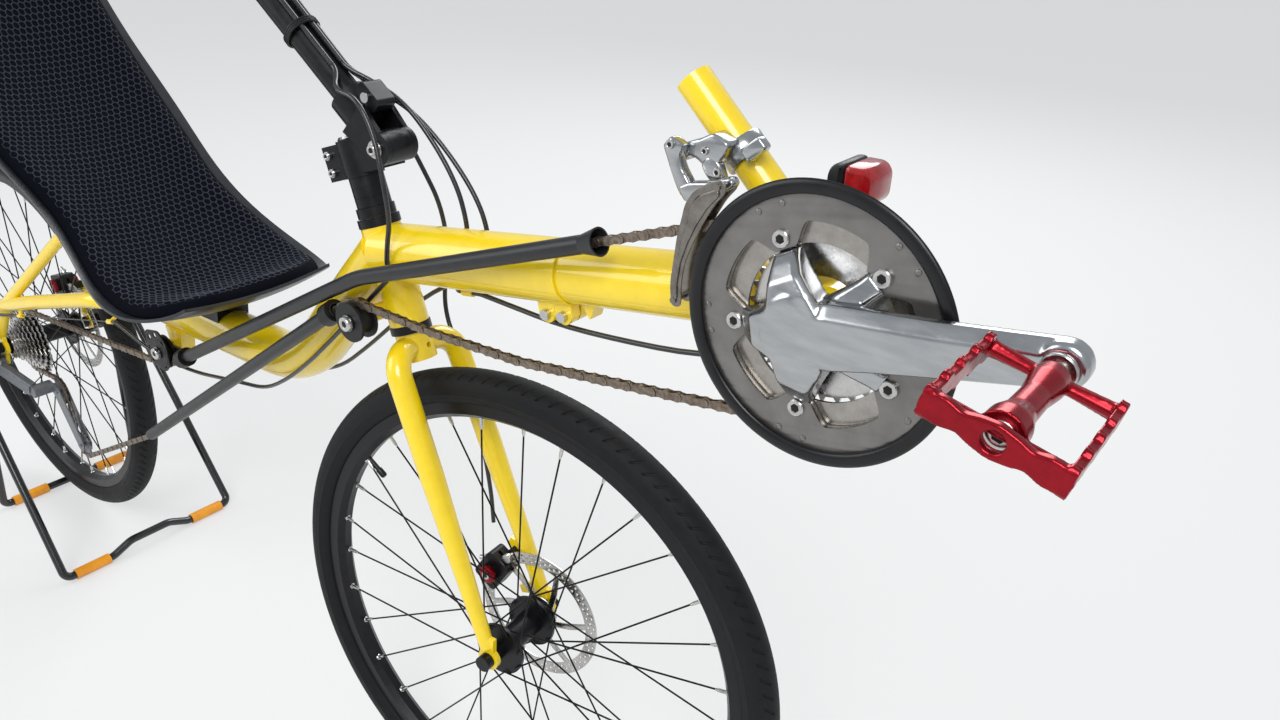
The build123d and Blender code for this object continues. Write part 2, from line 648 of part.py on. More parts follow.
pivot = on_head(stem_base + 22, 46)
riser_dir = Vector(-math.cos(math.radians(riser_rise)), 0, math.sin(math.radians(riser_rise)))
riser_across = Vector(riser_dir.Z, 0, -riser_dir.X)
riser_foot = Vector(-190, 0, 862)
riser_top = riser_foot + riser_dir * riser_length
pinch_spot = riser_foot + riser_dir * 14 + riser_across * 26.5
stem_bolt = 4.0
pinch_bolt = 2.5
pinch_heights = (9.0, 27.0)
stem_half = 15.0
cheek = 6.0
with BuildPart() as stem_clamp:
    rod(on_head(stem_base), on_head(stem_base + 38), 20)
    with BuildSketch(from_right(on_head(stem_base + 20), fore_axis)):
        with Locations((22, 0)):
            Rectangle(44, 34)
    extrude(amount=stem_half, both=True)
    with BuildSketch(from_right(on_head(stem_base + 18), fore_axis)):
        with Locations((-27, 0)):
            Rectangle(26, 36)
    extrude(amount=11, both=True)
    disc(pivot, -stem_half, stem_half, 17)
    with BuildSketch(from_right(on_head(stem_base + 18), fore_axis)):
        with Locations((-28, 0)):
            Rectangle(30, 40)
    extrude(amount=slot_half, both=True, mode=Mode.SUBTRACT)
    for height in pinch_heights:
        disc(on_head(stem_base + height, -32), -20, 20, pinch_bolt + 0.2, Mode.SUBTRACT)
    disc(pivot, -30, 30, stem_bolt + 0.2, Mode.SUBTRACT)
    rod(on_head(stem_base - 1), on_head(stem_base + 60), steerer_radius + 0.1, Mode.SUBTRACT)
write(stem_clamp, "stem_clamp", True)

with BuildPart() as stem_fork:
    for side in (-1, 1):
        face = side * (stem_half + gap)
        disc(pivot, face, side * (stem_half + cheek), 17)
        hinge_plane = Plane(origin=(pivot.X, face, pivot.Z), x_dir=tuple(riser_dir), z_dir=(0, side, 0))
        with BuildSketch(hinge_plane):
            with BuildLine():
                Polyline((0, -14), (0, 14), (40, 20), (40, -20), close=True)
            make_face()
        extrude(amount=cheek - gap)
    rod(riser_foot + riser_dir * 4, riser_foot + riser_dir * 38, 21)
    with BuildSketch(from_right(pinch_spot, riser_dir)):
        RectangleRounded(30, 16, 5)
    extrude(amount=12, both=True)
    disc(pivot, -stem_half - gap, stem_half + gap, 19, Mode.SUBTRACT)
    disc(pivot, -30, 30, stem_bolt + 0.2, Mode.SUBTRACT)
    disc(pinch_spot, -30, 30, pinch_bolt + 0.7, Mode.SUBTRACT)
    rod(riser_foot, riser_foot + riser_dir * 60, riser_radius + 0.2, Mode.SUBTRACT)
write(stem_fork, "stem_fork", True)

with BuildPart() as stem_bolts:
    for side in (-1, 1):
        face = stem_half + cheek
        disc(pivot, side * (face + gap), side * (face + 1.5), 9.0)
        disc(pivot, side * (face + 1.4), side * (face + 5), 6.5)
    disc(pivot, -stem_half - cheek - 1, stem_half + cheek + 1, stem_bolt)
    disc(pinch_spot, -14, 14, pinch_bolt + 0.5)
    disc(pinch_spot, -12 - gap, -16, 5)
    for height in pinch_heights:
        spot = on_head(stem_base + height, -32)
        disc(spot, -13, 10, pinch_bolt)
        disc(spot, -11 - gap, -14.5, 4.5)
write(stem_bolts, "stem_bolts", True)

with BuildPart() as riser:
    rod(riser_foot, riser_top, riser_radius)
    disc(riser_top, -22, 22, 18)
    disc(riser_top, -30, 30, bar_radius + 0.2, Mode.SUBTRACT)
write(riser, "riser", True)

bar_back = Vector(-90, 0, -10)
bar_ends = [Vector(riser_top.X, side * bar_half, riser_top.Z) + bar_back for side in (-1, 1)]
bar_corners = [Vector(riser_top.X, side * (bar_half - 50), riser_top.Z) for side in (-1, 1)]
with BuildPart() as handlebar:
    add_tube([bar_ends[0], bar_corners[0], bar_corners[1], bar_ends[1]], bar_radius, [45, 45])
write(handlebar, "handlebar", True)

grip_radius = 16.0
grip_length = 60.0
with BuildPart() as grips:
    for end_point, corner in zip(bar_ends, bar_corners):
        run = (end_point - corner).normalized()
        with BuildSketch(Plane(origin=tuple(end_point - run * (grip_length + 2)), z_dir=tuple(run))):
            Circle(grip_radius)
            Circle(bar_radius + gap, mode=Mode.SUBTRACT)
        extrude(amount=grip_length)
        rod(end_point + run * gap, end_point + run * 5, grip_radius)
write(grips, "grips", True)

# Brake levers and gear levers, each on its collar round the bar
collar = 17.0
with BuildPart() as brake_levers:
    for side in (-1, 1):
        mount = Vector(riser_top.X, side * (bar_half - 95), riser_top.Z)
        disc(mount, side * (bar_half - 105), side * (bar_half - 85), collar)
        with BuildSketch(from_right(mount)):
            with Locations((22, 0)):
                Rectangle(30, 14)
        extrude(amount=8, both=True)
        blade_root = mount + Vector(32, side * 6, 0)
        blade_bend = mount + Vector(38, side * 60, -4)
        add_tube([blade_root, blade_bend, mount + Vector(-20, side * 120, -12)], 5, [30])
        disc(mount, side * (bar_half - 106), side * (bar_half - 84), bar_radius + gap, Mode.SUBTRACT)
write(brake_levers, "brake_levers", True)

with BuildPart() as shifters:
    for side in (-1, 1):
        mount = Vector(riser_top.X, side * (bar_half - 125), riser_top.Z)
        disc(mount, side * (bar_half - 133), side * (bar_half - 117), collar)
        disc(mount + Vector(10, 0, -16), side * (bar_half - 140), side * (bar_half - 112), 14)
        disc(mount, side * (bar_half - 150), side * (bar_half - 100), bar_radius + gap, Mode.SUBTRACT)
write(shifters, "shifters", True)

# Brake calipers. Columns: name, axle, rotor y, its tab's y, angle about the axle, steered
caliper_table = (
    ("front", front_axle, 38.6, front_old / 2 + 1, front_caliper_angle, True),
    ("rear", rear_axle, 51.3, stay_half - 3, rear_caliper_angle, False),
)
for end, axle, rotor_y, tab_y, angle, steered in caliper_table:
    turn = math.radians(angle)
    reach = Vector(math.cos(turn), 0, math.sin(turn))
    centre = axle + reach * (rotor_radius - 6) + Vector(0, rotor_y, 0)
    with BuildPart() as caliper:
        with BuildSketch(from_right(centre + Vector(0, 12, 0), reach)):
            RectangleRounded(34, 44, 6)
        extrude(amount=22)
        disc(centre, rotor_y - 14, rotor_y - 9, 11)
        disc(centre, rotor_y + 11, rotor_y + 15.9, 12)
        with BuildSketch(from_right((centre.X, tab_y - gap, centre.Z), reach)):
            with Locations((-4, 0)):
                Rectangle(12, 70)
        extrude(amount=tab_y - gap - rotor_y)
        with BuildSketch(from_right(centre, reach)):
            with Locations((-12, 0)):
                Rectangle(44, 80)
        extrude(amount=2.2, both=True, mode=Mode.SUBTRACT)
    write(caliper, f"{end}_caliper", steered)

# Seat: stations along the shell. Columns: edge x, edge z, half width, dish depth
seat_stations = (
    (-428, 622, 100, 8),
    (-497, 600, 134, 16),
    (-580, 616, 138, 24),
    (-683, 672, 124, 30),
    (-778, 730, 132, 30),
    (-900, 815, 140, 28),
    (-1010, 925, 138, 24),
    (-1064, 988, 124, 19),
    (-1110, 1050, 105, 14),
)
seat_gap = 1.2
pad_inset = 13.0


def seat_section(k, widen, low, high):
    """A curved band across the seat at station k, between two heights above the shell's inside."""
    x, z, half, dish = seat_stations[k]
    before = seat_stations[max(k - 1, 0)]
    after = seat_stations[min(k + 1, len(seat_stations) - 1)]
    run = Vector(after[0] - before[0], 0, after[1] - before[1]).normalized()
    normal = Vector(run.Z, 0, -run.X)
    origin = Vector(x, 0, z) - normal * dish
    bow = (half ** 2 + dish ** 2) / (2 * dish)
    half = half + widen
    rise = bow - math.sqrt(bow ** 2 - half ** 2)
    with BuildSketch(Plane(origin=tuple(origin), x_dir=(0, 1, 0), z_dir=tuple(run * -1))) as section:
        with BuildLine():
            ThreePointArc((-half, rise + low), (0, low), (half, rise + low))
            Line((half, rise + low), (half, rise + high))
            ThreePointArc((half, rise + high), (0, high), (-half, rise + high))
            Line((-half, rise + high), (-half, rise + low))
        make_face()
    return section.sketch


def seat_loft(widen, low, high, mode=Mode.ADD):
    """The seat's curve between two heights, through all its stations."""
    loft([seat_section(k, widen, low, high) for k in range(len(seat_stations))], mode=mode)


with BuildPart() as seat_shell:
    seat_loft(0, -shell_thick, 0)
write(seat_shell, "seat_shell")

with BuildPart() as seat_pad:
    seat_loft(0, seat_gap, pad_thick)
    with BuildSketch(Plane.XY):
        with BuildLine():
            left_edge = [(x, half - pad_inset) for x, z, half, dish in seat_stations[1:-1]]
            right_edge = [(x, -y) for x, y in reversed(left_edge)]
            Polyline((-438, 90), *left_edge, (-1096, 80), (-1096, -80), *right_edge, (-438, -90), close=True)
        make_face()
    extrude(amount=1500, mode=Mode.INTERSECT)
write(seat_pad, "seat_pad")

# Brackets between the seat's shell and the frame: the front one on the drop tube, the rear one
# on the stays' cross tube, both cut to the shell's underside
with BuildPart() as seat_brackets:
    plate([(-505, 545), (-560, 545), (-566, 640), (-490, 640)], -22, 22)
    plate([(saddle_joint.X - 16, saddle_joint.Z - 2), (saddle_joint.X + 14, saddle_joint.Z - 2),
           (saddle_joint.X + 30, saddle_joint.Z + 70), (saddle_joint.X - 34, saddle_joint.Z + 70)], -18, 18)
    seat_loft(0, -shell_thick - seat_gap, 60, Mode.SUBTRACT)
    rod(drop_corner + drop_axis * 60, drop_end, main_radius - 0.5 + gap, Mode.SUBTRACT)
    disc(saddle_joint, -60, 60, upper_stay_radius + 1 + gap, Mode.SUBTRACT)
    rod(yoke, saddle_joint, 14 + gap, Mode.SUBTRACT)
write(seat_brackets, "seat_brackets")

# Chain guide tubes, with a flared mouth at the upper one's front
mouth_run = (upper_mouth - upper_bend).normalized()
upper_bend_radius = 200.0
with BuildPart() as chain_tubes:
    add_tube([upper_mouth, upper_bend, upper_end], guide_tube_radius, [upper_bend_radius])
    rod(lower_front, lower_end, guide_tube_radius)
    cone(upper_mouth - mouth_run * 10, upper_mouth + mouth_run * 8, guide_tube_radius, 12)
    add_tube([upper_mouth, upper_bend, upper_end], guide_tube_bore, [upper_bend_radius], mode=Mode.SUBTRACT)
    cone(upper_mouth - mouth_run * 10, upper_mouth + mouth_run * 8, guide_tube_bore, 10.5, Mode.SUBTRACT)
    rod(lower_front, lower_end, guide_tube_bore, Mode.SUBTRACT)
write(chain_tubes, "chain_tubes")

# Chain: one fixed loop of straight runs and wraps, slotted where the teeth run through it
with BuildPart() as chain:
    for k, guide in enumerate(chain_guides):
        start, finish = chain_runs[k]
        with BuildSketch(along(start, finish - start)):
            Rectangle(2 * chain_half, chain_height)
        extrude(amount=(finish - start).length)
        x, y, z, radius, turn = guide
        arrival = chain_runs[k - 1]
        if turn == 0:
            disc(Vector(x, 0, z), y - chain_half, y + chain_half, chain_height / 2)
        else:
            heading_in = (arrival[1] - arrival[0]) - Vector(0, (arrival[1] - arrival[0]).Y, 0)
            heading_out = (finish - start) - Vector(0, (finish - start).Y, 0)
            angle_in = math.degrees(math.atan2(heading_in.Z, heading_in.X))
            angle_out = math.degrees(math.atan2(heading_out.Z, heading_out.X))
            with BuildSketch(along(arrival[1], heading_in)):
                Rectangle(2 * chain_half, chain_height)
            revolve(axis=Axis((x, y, z), (0, -turn, 0)), revolution_arc=((angle_out - angle_in) * turn) % 360)
    for k in toothed_guides:
        x, y, z, radius, turn = chain_guides[k]
        slot = ring_half + 0.4
        disc(Vector(x, 0, z), y - slot, y + slot, radius + tooth_tip + 0.6, Mode.SUBTRACT)
write(chain, "chain")

# Idlers: a flanged spool on a bolt at each boss, and the holders that carry the tubes' ends
idler_bolt = 4.0
holder_outer = 12.5
holder_y = (boss_end - gap, boss_end - 3.8)
with BuildPart() as idlers:
    for spot, flange, near_y, far_y in ((front_idler, 21.5, -43, -57), (rear_idler, 21.5, -43.5, -50.5)):
        disc(spot, near_y + 3, far_y - 3, idler_radius - chain_height / 2 - gap)
        disc(spot, near_y, near_y + 3, flange)
        disc(spot, far_y, far_y - 3, flange)
        disc(spot, 0, -90, idler_bolt + gap, Mode.SUBTRACT)
    for spot, far_y in ((front_idler, -60), (rear_idler, -53.5)):
        disc(spot, -14, far_y - gap - 4, idler_bolt)
        disc(spot, far_y - gap, far_y - gap - 5, 8)
    for spot, tube_end, along_tube in ((front_idler, lower_front, (lower_end - lower_front).normalized()),
                                       (rear_idler, upper_end, (upper_bend - upper_end).normalized())):
        ring_start = tube_end + along_tube * 2
        ring_end = tube_end + along_tube * 20
        rod(ring_start, ring_end, holder_outer)
        disc(spot, *holder_y, 11)
        ends = (ring_start, ring_end)
        plate([(spot.X, spot.Z + 9), (ends[0].X, ends[0].Z + 6), (ends[1].X, ends[1].Z + 6),
               (ends[1].X, ends[1].Z - 6), (ends[0].X, ends[0].Z - 6), (spot.X, spot.Z - 9)], *holder_y)
        rod(ring_start, ring_end, guide_tube_radius + gap, Mode.SUBTRACT)
        disc(spot, *holder_y, idler_bolt + gap, Mode.SUBTRACT)
write(idlers, "idlers")

# Paddock stand: two bent hoops, sleeves on their ground bars and a holder on each end of the axle
stand_front_x = rear_axle.X + 228
stand_rear_x = rear_axle.X - 58
stand_holder = rear_old / 2 + 16
stand_arch = 15.0
front_spread = stand_holder + 55.5
rear_spread = stand_holder + 29.5
front_corner_y = front_spread + 8
rear_corner_y = rear_spread + 8
with BuildPart() as stand_hoops:
    for side in (-1, 1):
        top = Vector(rear_axle.X + 12, side * front_spread, rear_axle.Z)
        eye = Vector(rear_axle.X + 12, side * (stand_holder + 6 + gap), rear_axle.Z)
        add_tube([Vector(stand_front_x, 0, stand_level + stand_arch),
                  Vector(stand_front_x, side * 34, stand_level + stand_arch),
                  Vector(stand_front_x, side * 68, stand_level),
                  Vector(stand_front_x, side * front_corner_y, stand_level), top, eye],
                 stand_rod, [30, 30, 12, 16])
        top = Vector(rear_axle.X - 12, side * rear_spread, rear_axle.Z)
        eye = Vector(rear_axle.X - 12, side * (stand_holder + 6 + gap), rear_axle.Z)
        add_tube([Vector(stand_rear_x, 0, stand_level),
                  Vector(stand_rear_x, side * rear_corner_y, stand_level), top, eye], stand_rod, [12, 16])
write(stand_hoops, "stand_hoops")

with BuildPart() as stand_sleeves:
    for bar_x, near, far in ((stand_front_x, 74, 131), (stand_rear_x, 45, 105)):
        for side in (-1, 1):
            with BuildSketch(Plane(origin=(bar_x, side * near, stand_level), z_dir=(0, side, 0))):
                Circle(stand_level)
                Circle(stand_rod + gap, mode=Mode.SUBTRACT)
            extrude(amount=far - near)
write(stand_sleeves, "stand_sleeves")

with BuildPart() as stand_holders:
    for side in (-1, 1):
        disc(rear_axle, side * (stand_holder + gap), side * (stand_holder + 6), 18)
write(stand_holders, "stand_holders")

# Rear derailleur: knuckle on the hanger, slanted body, and the cage that holds both pulleys
cage_y = (-37.2, -39.2)
inner_cage_y = (-26.8, -24.8)
pulley_half = 1.1
knuckle_y = -stay_half - dropout_thick / 2 - gap
with BuildPart() as rear_derailleur:
    disc(hanger, knuckle_y, knuckle_y - 9, 12)
    disc(hanger, knuckle_y + 12, knuckle_y, 4.0)
    joint_place = (hanger.X + 8, knuckle_y - 8, hanger.Z - 10)
    with BuildSketch(Plane(origin=joint_place, x_dir=(0, 1, 0), z_dir=(0.84, 0.3, -0.45))):
        RectangleRounded(14, 26, 4)
    extrude(amount=62)
    disc(guide_pulley + Vector(-22, 0, 4), -68, cage_y[0] - 1, 11)
    plate([(guide_pulley.X - 33, guide_pulley.Z + 4), (guide_pulley.X - 22, guide_pulley.Z + 15),
           (guide_pulley.X + 8, guide_pulley.Z + 10), (tension_pulley.X + 11, tension_pulley.Z + 4),
           (tension_pulley.X + 6, tension_pulley.Z - 11), (tension_pulley.X - 11, tension_pulley.Z - 3),
           (guide_pulley.X - 14, guide_pulley.Z - 8)], *cage_y)
    plate([(guide_pulley.X - 12, guide_pulley.Z + 4), (guide_pulley.X, guide_pulley.Z + 12),
           (guide_pulley.X + 10, guide_pulley.Z + 8), (tension_pulley.X + 11, tension_pulley.Z + 4),
           (tension_pulley.X + 6, tension_pulley.Z - 11), (tension_pulley.X - 11, tension_pulley.Z - 3)],
          *inner_cage_y)
    for spot in (guide_pulley, tension_pulley):
        disc(spot, inner_cage_y[1] + 1, cage_y[1] - 1.5, 2.5)
    for spot in (guide_pulley, tension_pulley):
        with BuildSketch(from_right(spot)):
            Circle(pulley_radius - tooth_root)
            with PolarLocations(pulley_radius - tooth_root / 2, 11):
                Trapezoid(7, tooth_root + tooth_tip, 66, rotation=-90)
            Circle(2.8, mode=Mode.SUBTRACT)
        extrude(amount=pulley_half, both=True)
write(rear_derailleur, "rear_derailleur")

# Front derailleur: band on the post, parallelogram body, and the cage's two curved plates
band_low = 128.0
cage_inner = guard_radius + 3.4
cage_outer = cage_inner + 17
plate_ys = ((-38.0, -39.5), (-52.0, -53.5))
with BuildPart() as front_derailleur:
    band = bottom + post_axis * band_low
    rod(band, band + post_axis * 16, post_radius + 4)
    plate([(243, 935), (200, 931), (193, 917), (206, 886), (240, 880), (254, 906)], -14.7,
          plate_ys[0][0] - 0.5, 4)
    rod(band - post_axis * 1, band + post_axis * 17, post_radius + 0.1, Mode.SUBTRACT)
    for near_y, far_y in plate_ys:
        with BuildSketch(from_right((bottom.X, near_y, bottom.Z))):
            Circle(cage_outer)
            Circle(cage_inner, mode=Mode.SUBTRACT)
            with BuildLine():
                Polyline((0, 0), (-300, -40), (-300, 330), (-185, 330), close=True)
            make_face(mode=Mode.INTERSECT)
        extrude(amount=near_y - far_y)
    for turn in (134, 184):
        spoke = Vector(math.cos(math.radians(turn)), 0, math.sin(math.radians(turn)))
        bridge = bottom + spoke * (cage_outer - 4.5)
        disc(bridge, plate_ys[0][0], plate_ys[1][1], 3)
write(front_derailleur, "front_derailleur")

# Lamp on its bracket at the boom's front end
lamp_x = 338.0
lamp_base = 905.0
bracket_x = 350.0
with BuildPart() as lamp:
    with BuildSketch(Plane.XY.offset(lamp_base)):
        with Locations((lamp_x, 0)):
            RectangleRounded(34, 44, 8)
    extrude(amount=30)
write(lamp, "lamp")

boom_top_z = bottom_z + shell_radius
with BuildPart() as lamp_bracket:
    with BuildSketch(Plane.XY.offset(boom_top_z + gap)):
        with Locations((bracket_x, 0)):
            RectangleRounded(16, 22, 3)
    extrude(amount=6)
    with BuildSketch(Plane.XY.offset(boom_top_z + gap)):
        with Locations((bracket_x, 0)):
            Rectangle(7, 18)
    extrude(amount=lamp_base - boom_top_z - 2 * gap)
write(lamp_bracket, "lamp_bracket")

# Cables in their housings, held all the way. Each route is a list of points chosen by hand;
# those that cross the steering joint bend when it turns
riser_line = riser_radius + housing_radius + gap
loop_end_z = 744.0


def on_riser(reach, turn, lift=riser_line):
    """A point beside the riser, by its distance up it and its angle from the upper side."""
    angle = math.radians(turn)
    outward = riser_across * (lift * math.cos(angle)) + Vector(0, lift * math.sin(angle), 0)
    return riser_foot + riser_dir * reach + outward


with BuildPart() as rear_cables:
    add_cable([on_boom(cable_stop_x + 6.6, stop_drop), on_boom(cable_stop_x + 16, stop_drop), (68, -3, 727),
               (140, -4, 736), (212, -5, 748), (280, -7, 770), (316, -10, 793)])
    add_cable([(-92, 34, loop_end_z - 0.5), (-92, 34, 720), (-160, 36, 678), (-215, 36, 630), (-270, 35, 580),
               (-330, 33, 530), (-400, 32, 503), (-520, 30, 494), (-620, 32, 485), (-700, 60, 493),
               (-780, 84, 494), (-930, 90, 462), (-1060, 90, 424), (-1112, 82, 404)])
    add_cable([(-136, -34, loop_end_z - 0.5), (-136, -33, 724), (-232, -33, 632), (-290, -33, 578),
               (-345, -30, 534), (-402, -28, 498), (-472, -27, 483), (-563, -24, 460), (-606, -26, 455),
               (-650, -44, 470), wire_front + wire_run * 12.4, wire_front + wire_run * 7.4])
    add_cable([wire_rear - wire_run * 7.4, wire_rear - wire_run * 30, (-1077, -87, 409), (-1150, -90, 394),
               (-1180, -86, 350), (-1168, -82, 314), (-1143, -80, 305)])
    rod(wire_front - wire_run * 7.4, wire_rear + wire_run * 7.4, 0.9)
write(rear_cables, "rear_cables")

# The loops over the steering joint. Columns: angle round the riser, the points after its clip
loop_table = (
    (-30, ((-206, -26, 898), (-172, -27, 897), (-148, -28, 866), (-132, -34, 822), (-127, -34, 785),
           (-134, -34, 760), (-136, -34, loop_end_z))),
    (10, ((-204, 20, 900), (-166, 27, 884), (-132, 33, 848), (-106, 36, 810), (-94, 35, 778),
          (-92, 34, 758), (-92, 34, loop_end_z))),
    (30, ((-206, 28, 890), (-164, 36, 874), (-124, 44, 838), (-90, 48, 798), (-74, 47, 762), (-74, 42, 728),
          (-90, 16, 711), on_boom(cable_stop_x - 16, stop_drop), on_boom(cable_stop_x - 8.6, stop_drop))),
)
with BuildPart() as loop_cables:
    for turn, rest in loop_table:
        add_cable([turned(on_riser(66, turn)), turned(on_riser(58, turn)), *rest])
write(loop_cables, "loop_cables")

with BuildPart() as bar_cables:
    for turn, side in ((-30, -1), (10, -1), (30, 1), (50, 1)):
        outer = turn in (-30, 50)
        top = on_riser(345, turn, riser_line + 2)
        if outer:
            rest = [Vector(riser_top.X + 34, side * 52, riser_top.Z + 4),
                    Vector(riser_top.X + 22, side * (bar_half - 105), riser_top.Z)]
        else:
            rest = [Vector(riser_top.X + 26, side * 34, riser_top.Z - 10),
                    Vector(riser_top.X + 14, side * (bar_half - 142), riser_top.Z - 14)]
        add_cable([on_riser(66.5, turn), on_riser(200, turn, riser_line + 2), top] + rest)
write(bar_cables, "bar_cables", True)

front_brake_route = (
    (-224, 30, 894), (-216, 50, 862), (-206, 68, 818), (-183, 77, 770), (-172, 77, 733), (-175, 75, 690),
    (-172, 68, 646), (-142, 61, 600), (-121, 58, 548), (-101, 55, 490), (-89, 52, 440), (-86, 51, 404))
with BuildPart() as front_brake_cable:
    add_cable([on_riser(66, 50), on_riser(58, 50), *[untwisted(point) for point in front_brake_route]])
write(front_brake_cable, "front_brake_cable", True)
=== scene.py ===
# %% [markdown]
# # A recumbent bicycle on its parking stand
# A recumbent is ridden lying back in a seat shell, with the cranks out on a boom in front.
# The CAD model is the fixed frame: every tube, wheel and bolt already stands in its place.
# This notebook gives each piece its finish, and remodels those whose charm is in their detail:
# the tyres, the chain, the forged crank, the pedals, the brake discs and the mesh seat.

# %% Load the frame
import bisect
import json
import math
import bpy
import bmesh
from mathutils import Matrix, Vector
from mathutils.bvhtree import BVHTree


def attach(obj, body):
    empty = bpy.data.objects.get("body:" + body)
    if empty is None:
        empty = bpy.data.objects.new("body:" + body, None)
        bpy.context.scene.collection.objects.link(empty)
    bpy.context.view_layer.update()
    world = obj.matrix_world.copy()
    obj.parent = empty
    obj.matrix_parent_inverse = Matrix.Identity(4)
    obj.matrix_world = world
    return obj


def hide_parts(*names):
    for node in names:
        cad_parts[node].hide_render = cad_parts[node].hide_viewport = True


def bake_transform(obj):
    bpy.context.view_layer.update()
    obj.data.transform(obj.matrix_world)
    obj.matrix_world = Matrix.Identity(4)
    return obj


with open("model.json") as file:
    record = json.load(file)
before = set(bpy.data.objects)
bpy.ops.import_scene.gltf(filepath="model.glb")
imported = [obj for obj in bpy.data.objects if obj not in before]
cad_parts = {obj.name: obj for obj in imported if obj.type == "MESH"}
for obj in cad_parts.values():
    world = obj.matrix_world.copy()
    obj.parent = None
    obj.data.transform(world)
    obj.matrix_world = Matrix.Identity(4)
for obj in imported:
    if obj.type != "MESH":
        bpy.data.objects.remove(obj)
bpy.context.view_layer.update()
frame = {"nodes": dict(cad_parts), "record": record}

nodes = frame["nodes"]

# %% [markdown]
# ## Places that come back
# A few points of the bicycle are used again and again. They are the same numbers as in the CAD
# source, in metres. Small sizes are easier to read in millimetres, which `mm` turns into metres.
# The front end stands turned by a few degrees, so pieces that ride on it are turned with it.

# %% Places
MM = 0.001
RIGHT, LEFT = Vector((0, -1, 0)), Vector((0, 1, 0))
TYRE_RADIUS = 0.31875
FRONT_AXLE = Vector((0, 0, TYRE_RADIUS))
REAR_AXLE = Vector((-1.119, 0, 0.3311))
CRANK_AXLE = Vector((0.3446, 0, 0.8312))
CRANK_ANGLE = math.radians(12.5)
HEAD_BASE = Vector((-0.150, 0, 0.660))
HEAD_UP = Vector((-math.cos(math.radians(70.5)), 0, math.sin(math.radians(70.5))))
HEAD_FORE = Vector((HEAD_UP.z, 0, -HEAD_UP.x))
STEER = (Matrix.Translation(HEAD_BASE) @ Matrix.Rotation(math.radians(7.5), 4, HEAD_UP)
         @ Matrix.Translation(-HEAD_BASE))
STEERED_BODIES = ("steering", "front_wheel")


def mm(x, y, z):
    """A place or a step that is given in millimetres."""
    return Vector((x, y, z)) * MM


def forward_at(turn):
    """The direction at an angle above forward, in the bicycle's middle plane."""
    return Vector((math.cos(turn), 0, math.sin(turn)))


def upward_at(turn):
    """The direction square to forward_at, on its upper side."""
    return Vector((-math.sin(turn), 0, math.cos(turn)))


def on_head(height, forward=0.0, side=0.0):
    """A point of the front end by mm up the head tube, before the wheel is turned."""
    return HEAD_BASE + HEAD_UP * (height * MM) + HEAD_FORE * (forward * MM) + mm(0, side, 0)


print("crank axle", CRANK_AXLE, "front axle turned to", STEER @ FRONT_AXLE)

# %% [markdown]
# ## The camera
# The photograph was taken with a wide lens from the right, close to the pedal and a little above
# it. A camera has a place, three turns and a focal length. Here the turns are given as heading,
# tilt and roll, and the three axes of the camera are worked out from them.

# %% The camera
CAMERA_PLACE = Vector((0.6255, -0.6236, 1.1199))
HEADING, TILT, ROLL = -0.6442, -0.4723, 0.0443
FOCAL_PIXELS, FRAME_WIDTH = 1008.1, 1280
ahead = Vector((math.sin(HEADING) * math.cos(TILT), math.cos(HEADING) * math.cos(TILT), math.sin(TILT)))
level_right = ahead.cross(Vector((0, 0, 1))).normalized()
level_up = level_right.cross(ahead)
right = level_right * math.cos(ROLL) + level_up * math.sin(ROLL)
above = level_up * math.cos(ROLL) - level_right * math.sin(ROLL)
camera_data = bpy.data.cameras.new("camera")
camera_data.sensor_width = 36.0
camera_data.lens = 36.0 * FOCAL_PIXELS / FRAME_WIDTH
camera_data.clip_start = 0.02
camera = bpy.data.objects.new("camera", camera_data)
camera.matrix_world = Matrix((
    (right.x, above.x, -ahead.x, CAMERA_PLACE.x),
    (right.y, above.y, -ahead.y, CAMERA_PLACE.y),
    (right.z, above.z, -ahead.z, CAMERA_PLACE.z),
    (0, 0, 0, 1)))
bpy.context.scene.collection.objects.link(camera)
bpy.context.scene.camera = camera
print("lens in mm", round(camera_data.lens, 2))

# %% [markdown]
# ## Studio floor and light
# A pale floor and a pale world stand in for a photographer's sweep. Big area lamps give soft
# edges to the shadows. Colours should render as they are written, so the view transform is
# Standard, and the world looks brighter to the camera than it shines on the bicycle.

# %% World
scene = bpy.context.scene
scene.view_settings.view_transform = "Standard"


def feed(tree, node, *first_inputs, **named_inputs):
    """Give a shader node's inputs plain values, or the outputs that feed them."""
    wanted = list(enumerate(first_inputs))
    wanted += [(name.replace("_", " "), value) for name, value in named_inputs.items()]
    for key, value in wanted:
        if isinstance(value, bpy.types.NodeSocket):
            tree.links.new(value, node.inputs[key])
        else:
            node.inputs[key].default_value = value
    return node


def node_of(tree, kind, *first_inputs, **named_inputs):
    """Add a shader node and feed it."""
    return feed(tree, tree.nodes.new("ShaderNode" + kind), *first_inputs, **named_inputs)


world = bpy.data.worlds.new("studio")
world.use_nodes = True
scene.world = world
sky = world.node_tree
sky.nodes.clear()
seen_light = node_of(sky, "Background", Color=(0.93, 0.94, 0.95, 1), Strength=1.0)
shed_light = node_of(sky, "Background", Color=(0.90, 0.95, 1.0, 1), Strength=0.55)
to_camera = node_of(sky, "LightPath").outputs["Is Camera Ray"]
sky_mix = node_of(sky, "MixShader", to_camera, shed_light.outputs[0], seen_light.outputs[0])
node_of(sky, "OutputWorld", Surface=sky_mix.outputs[0])
print("world nodes", len(sky.nodes))

# %% [markdown]
# ## The floor
# The floor glows a little where the camera sees it, straight or in a reflection, so that it melts
# into the world behind it. For all other light it is plain matt paint, which takes the shadows.

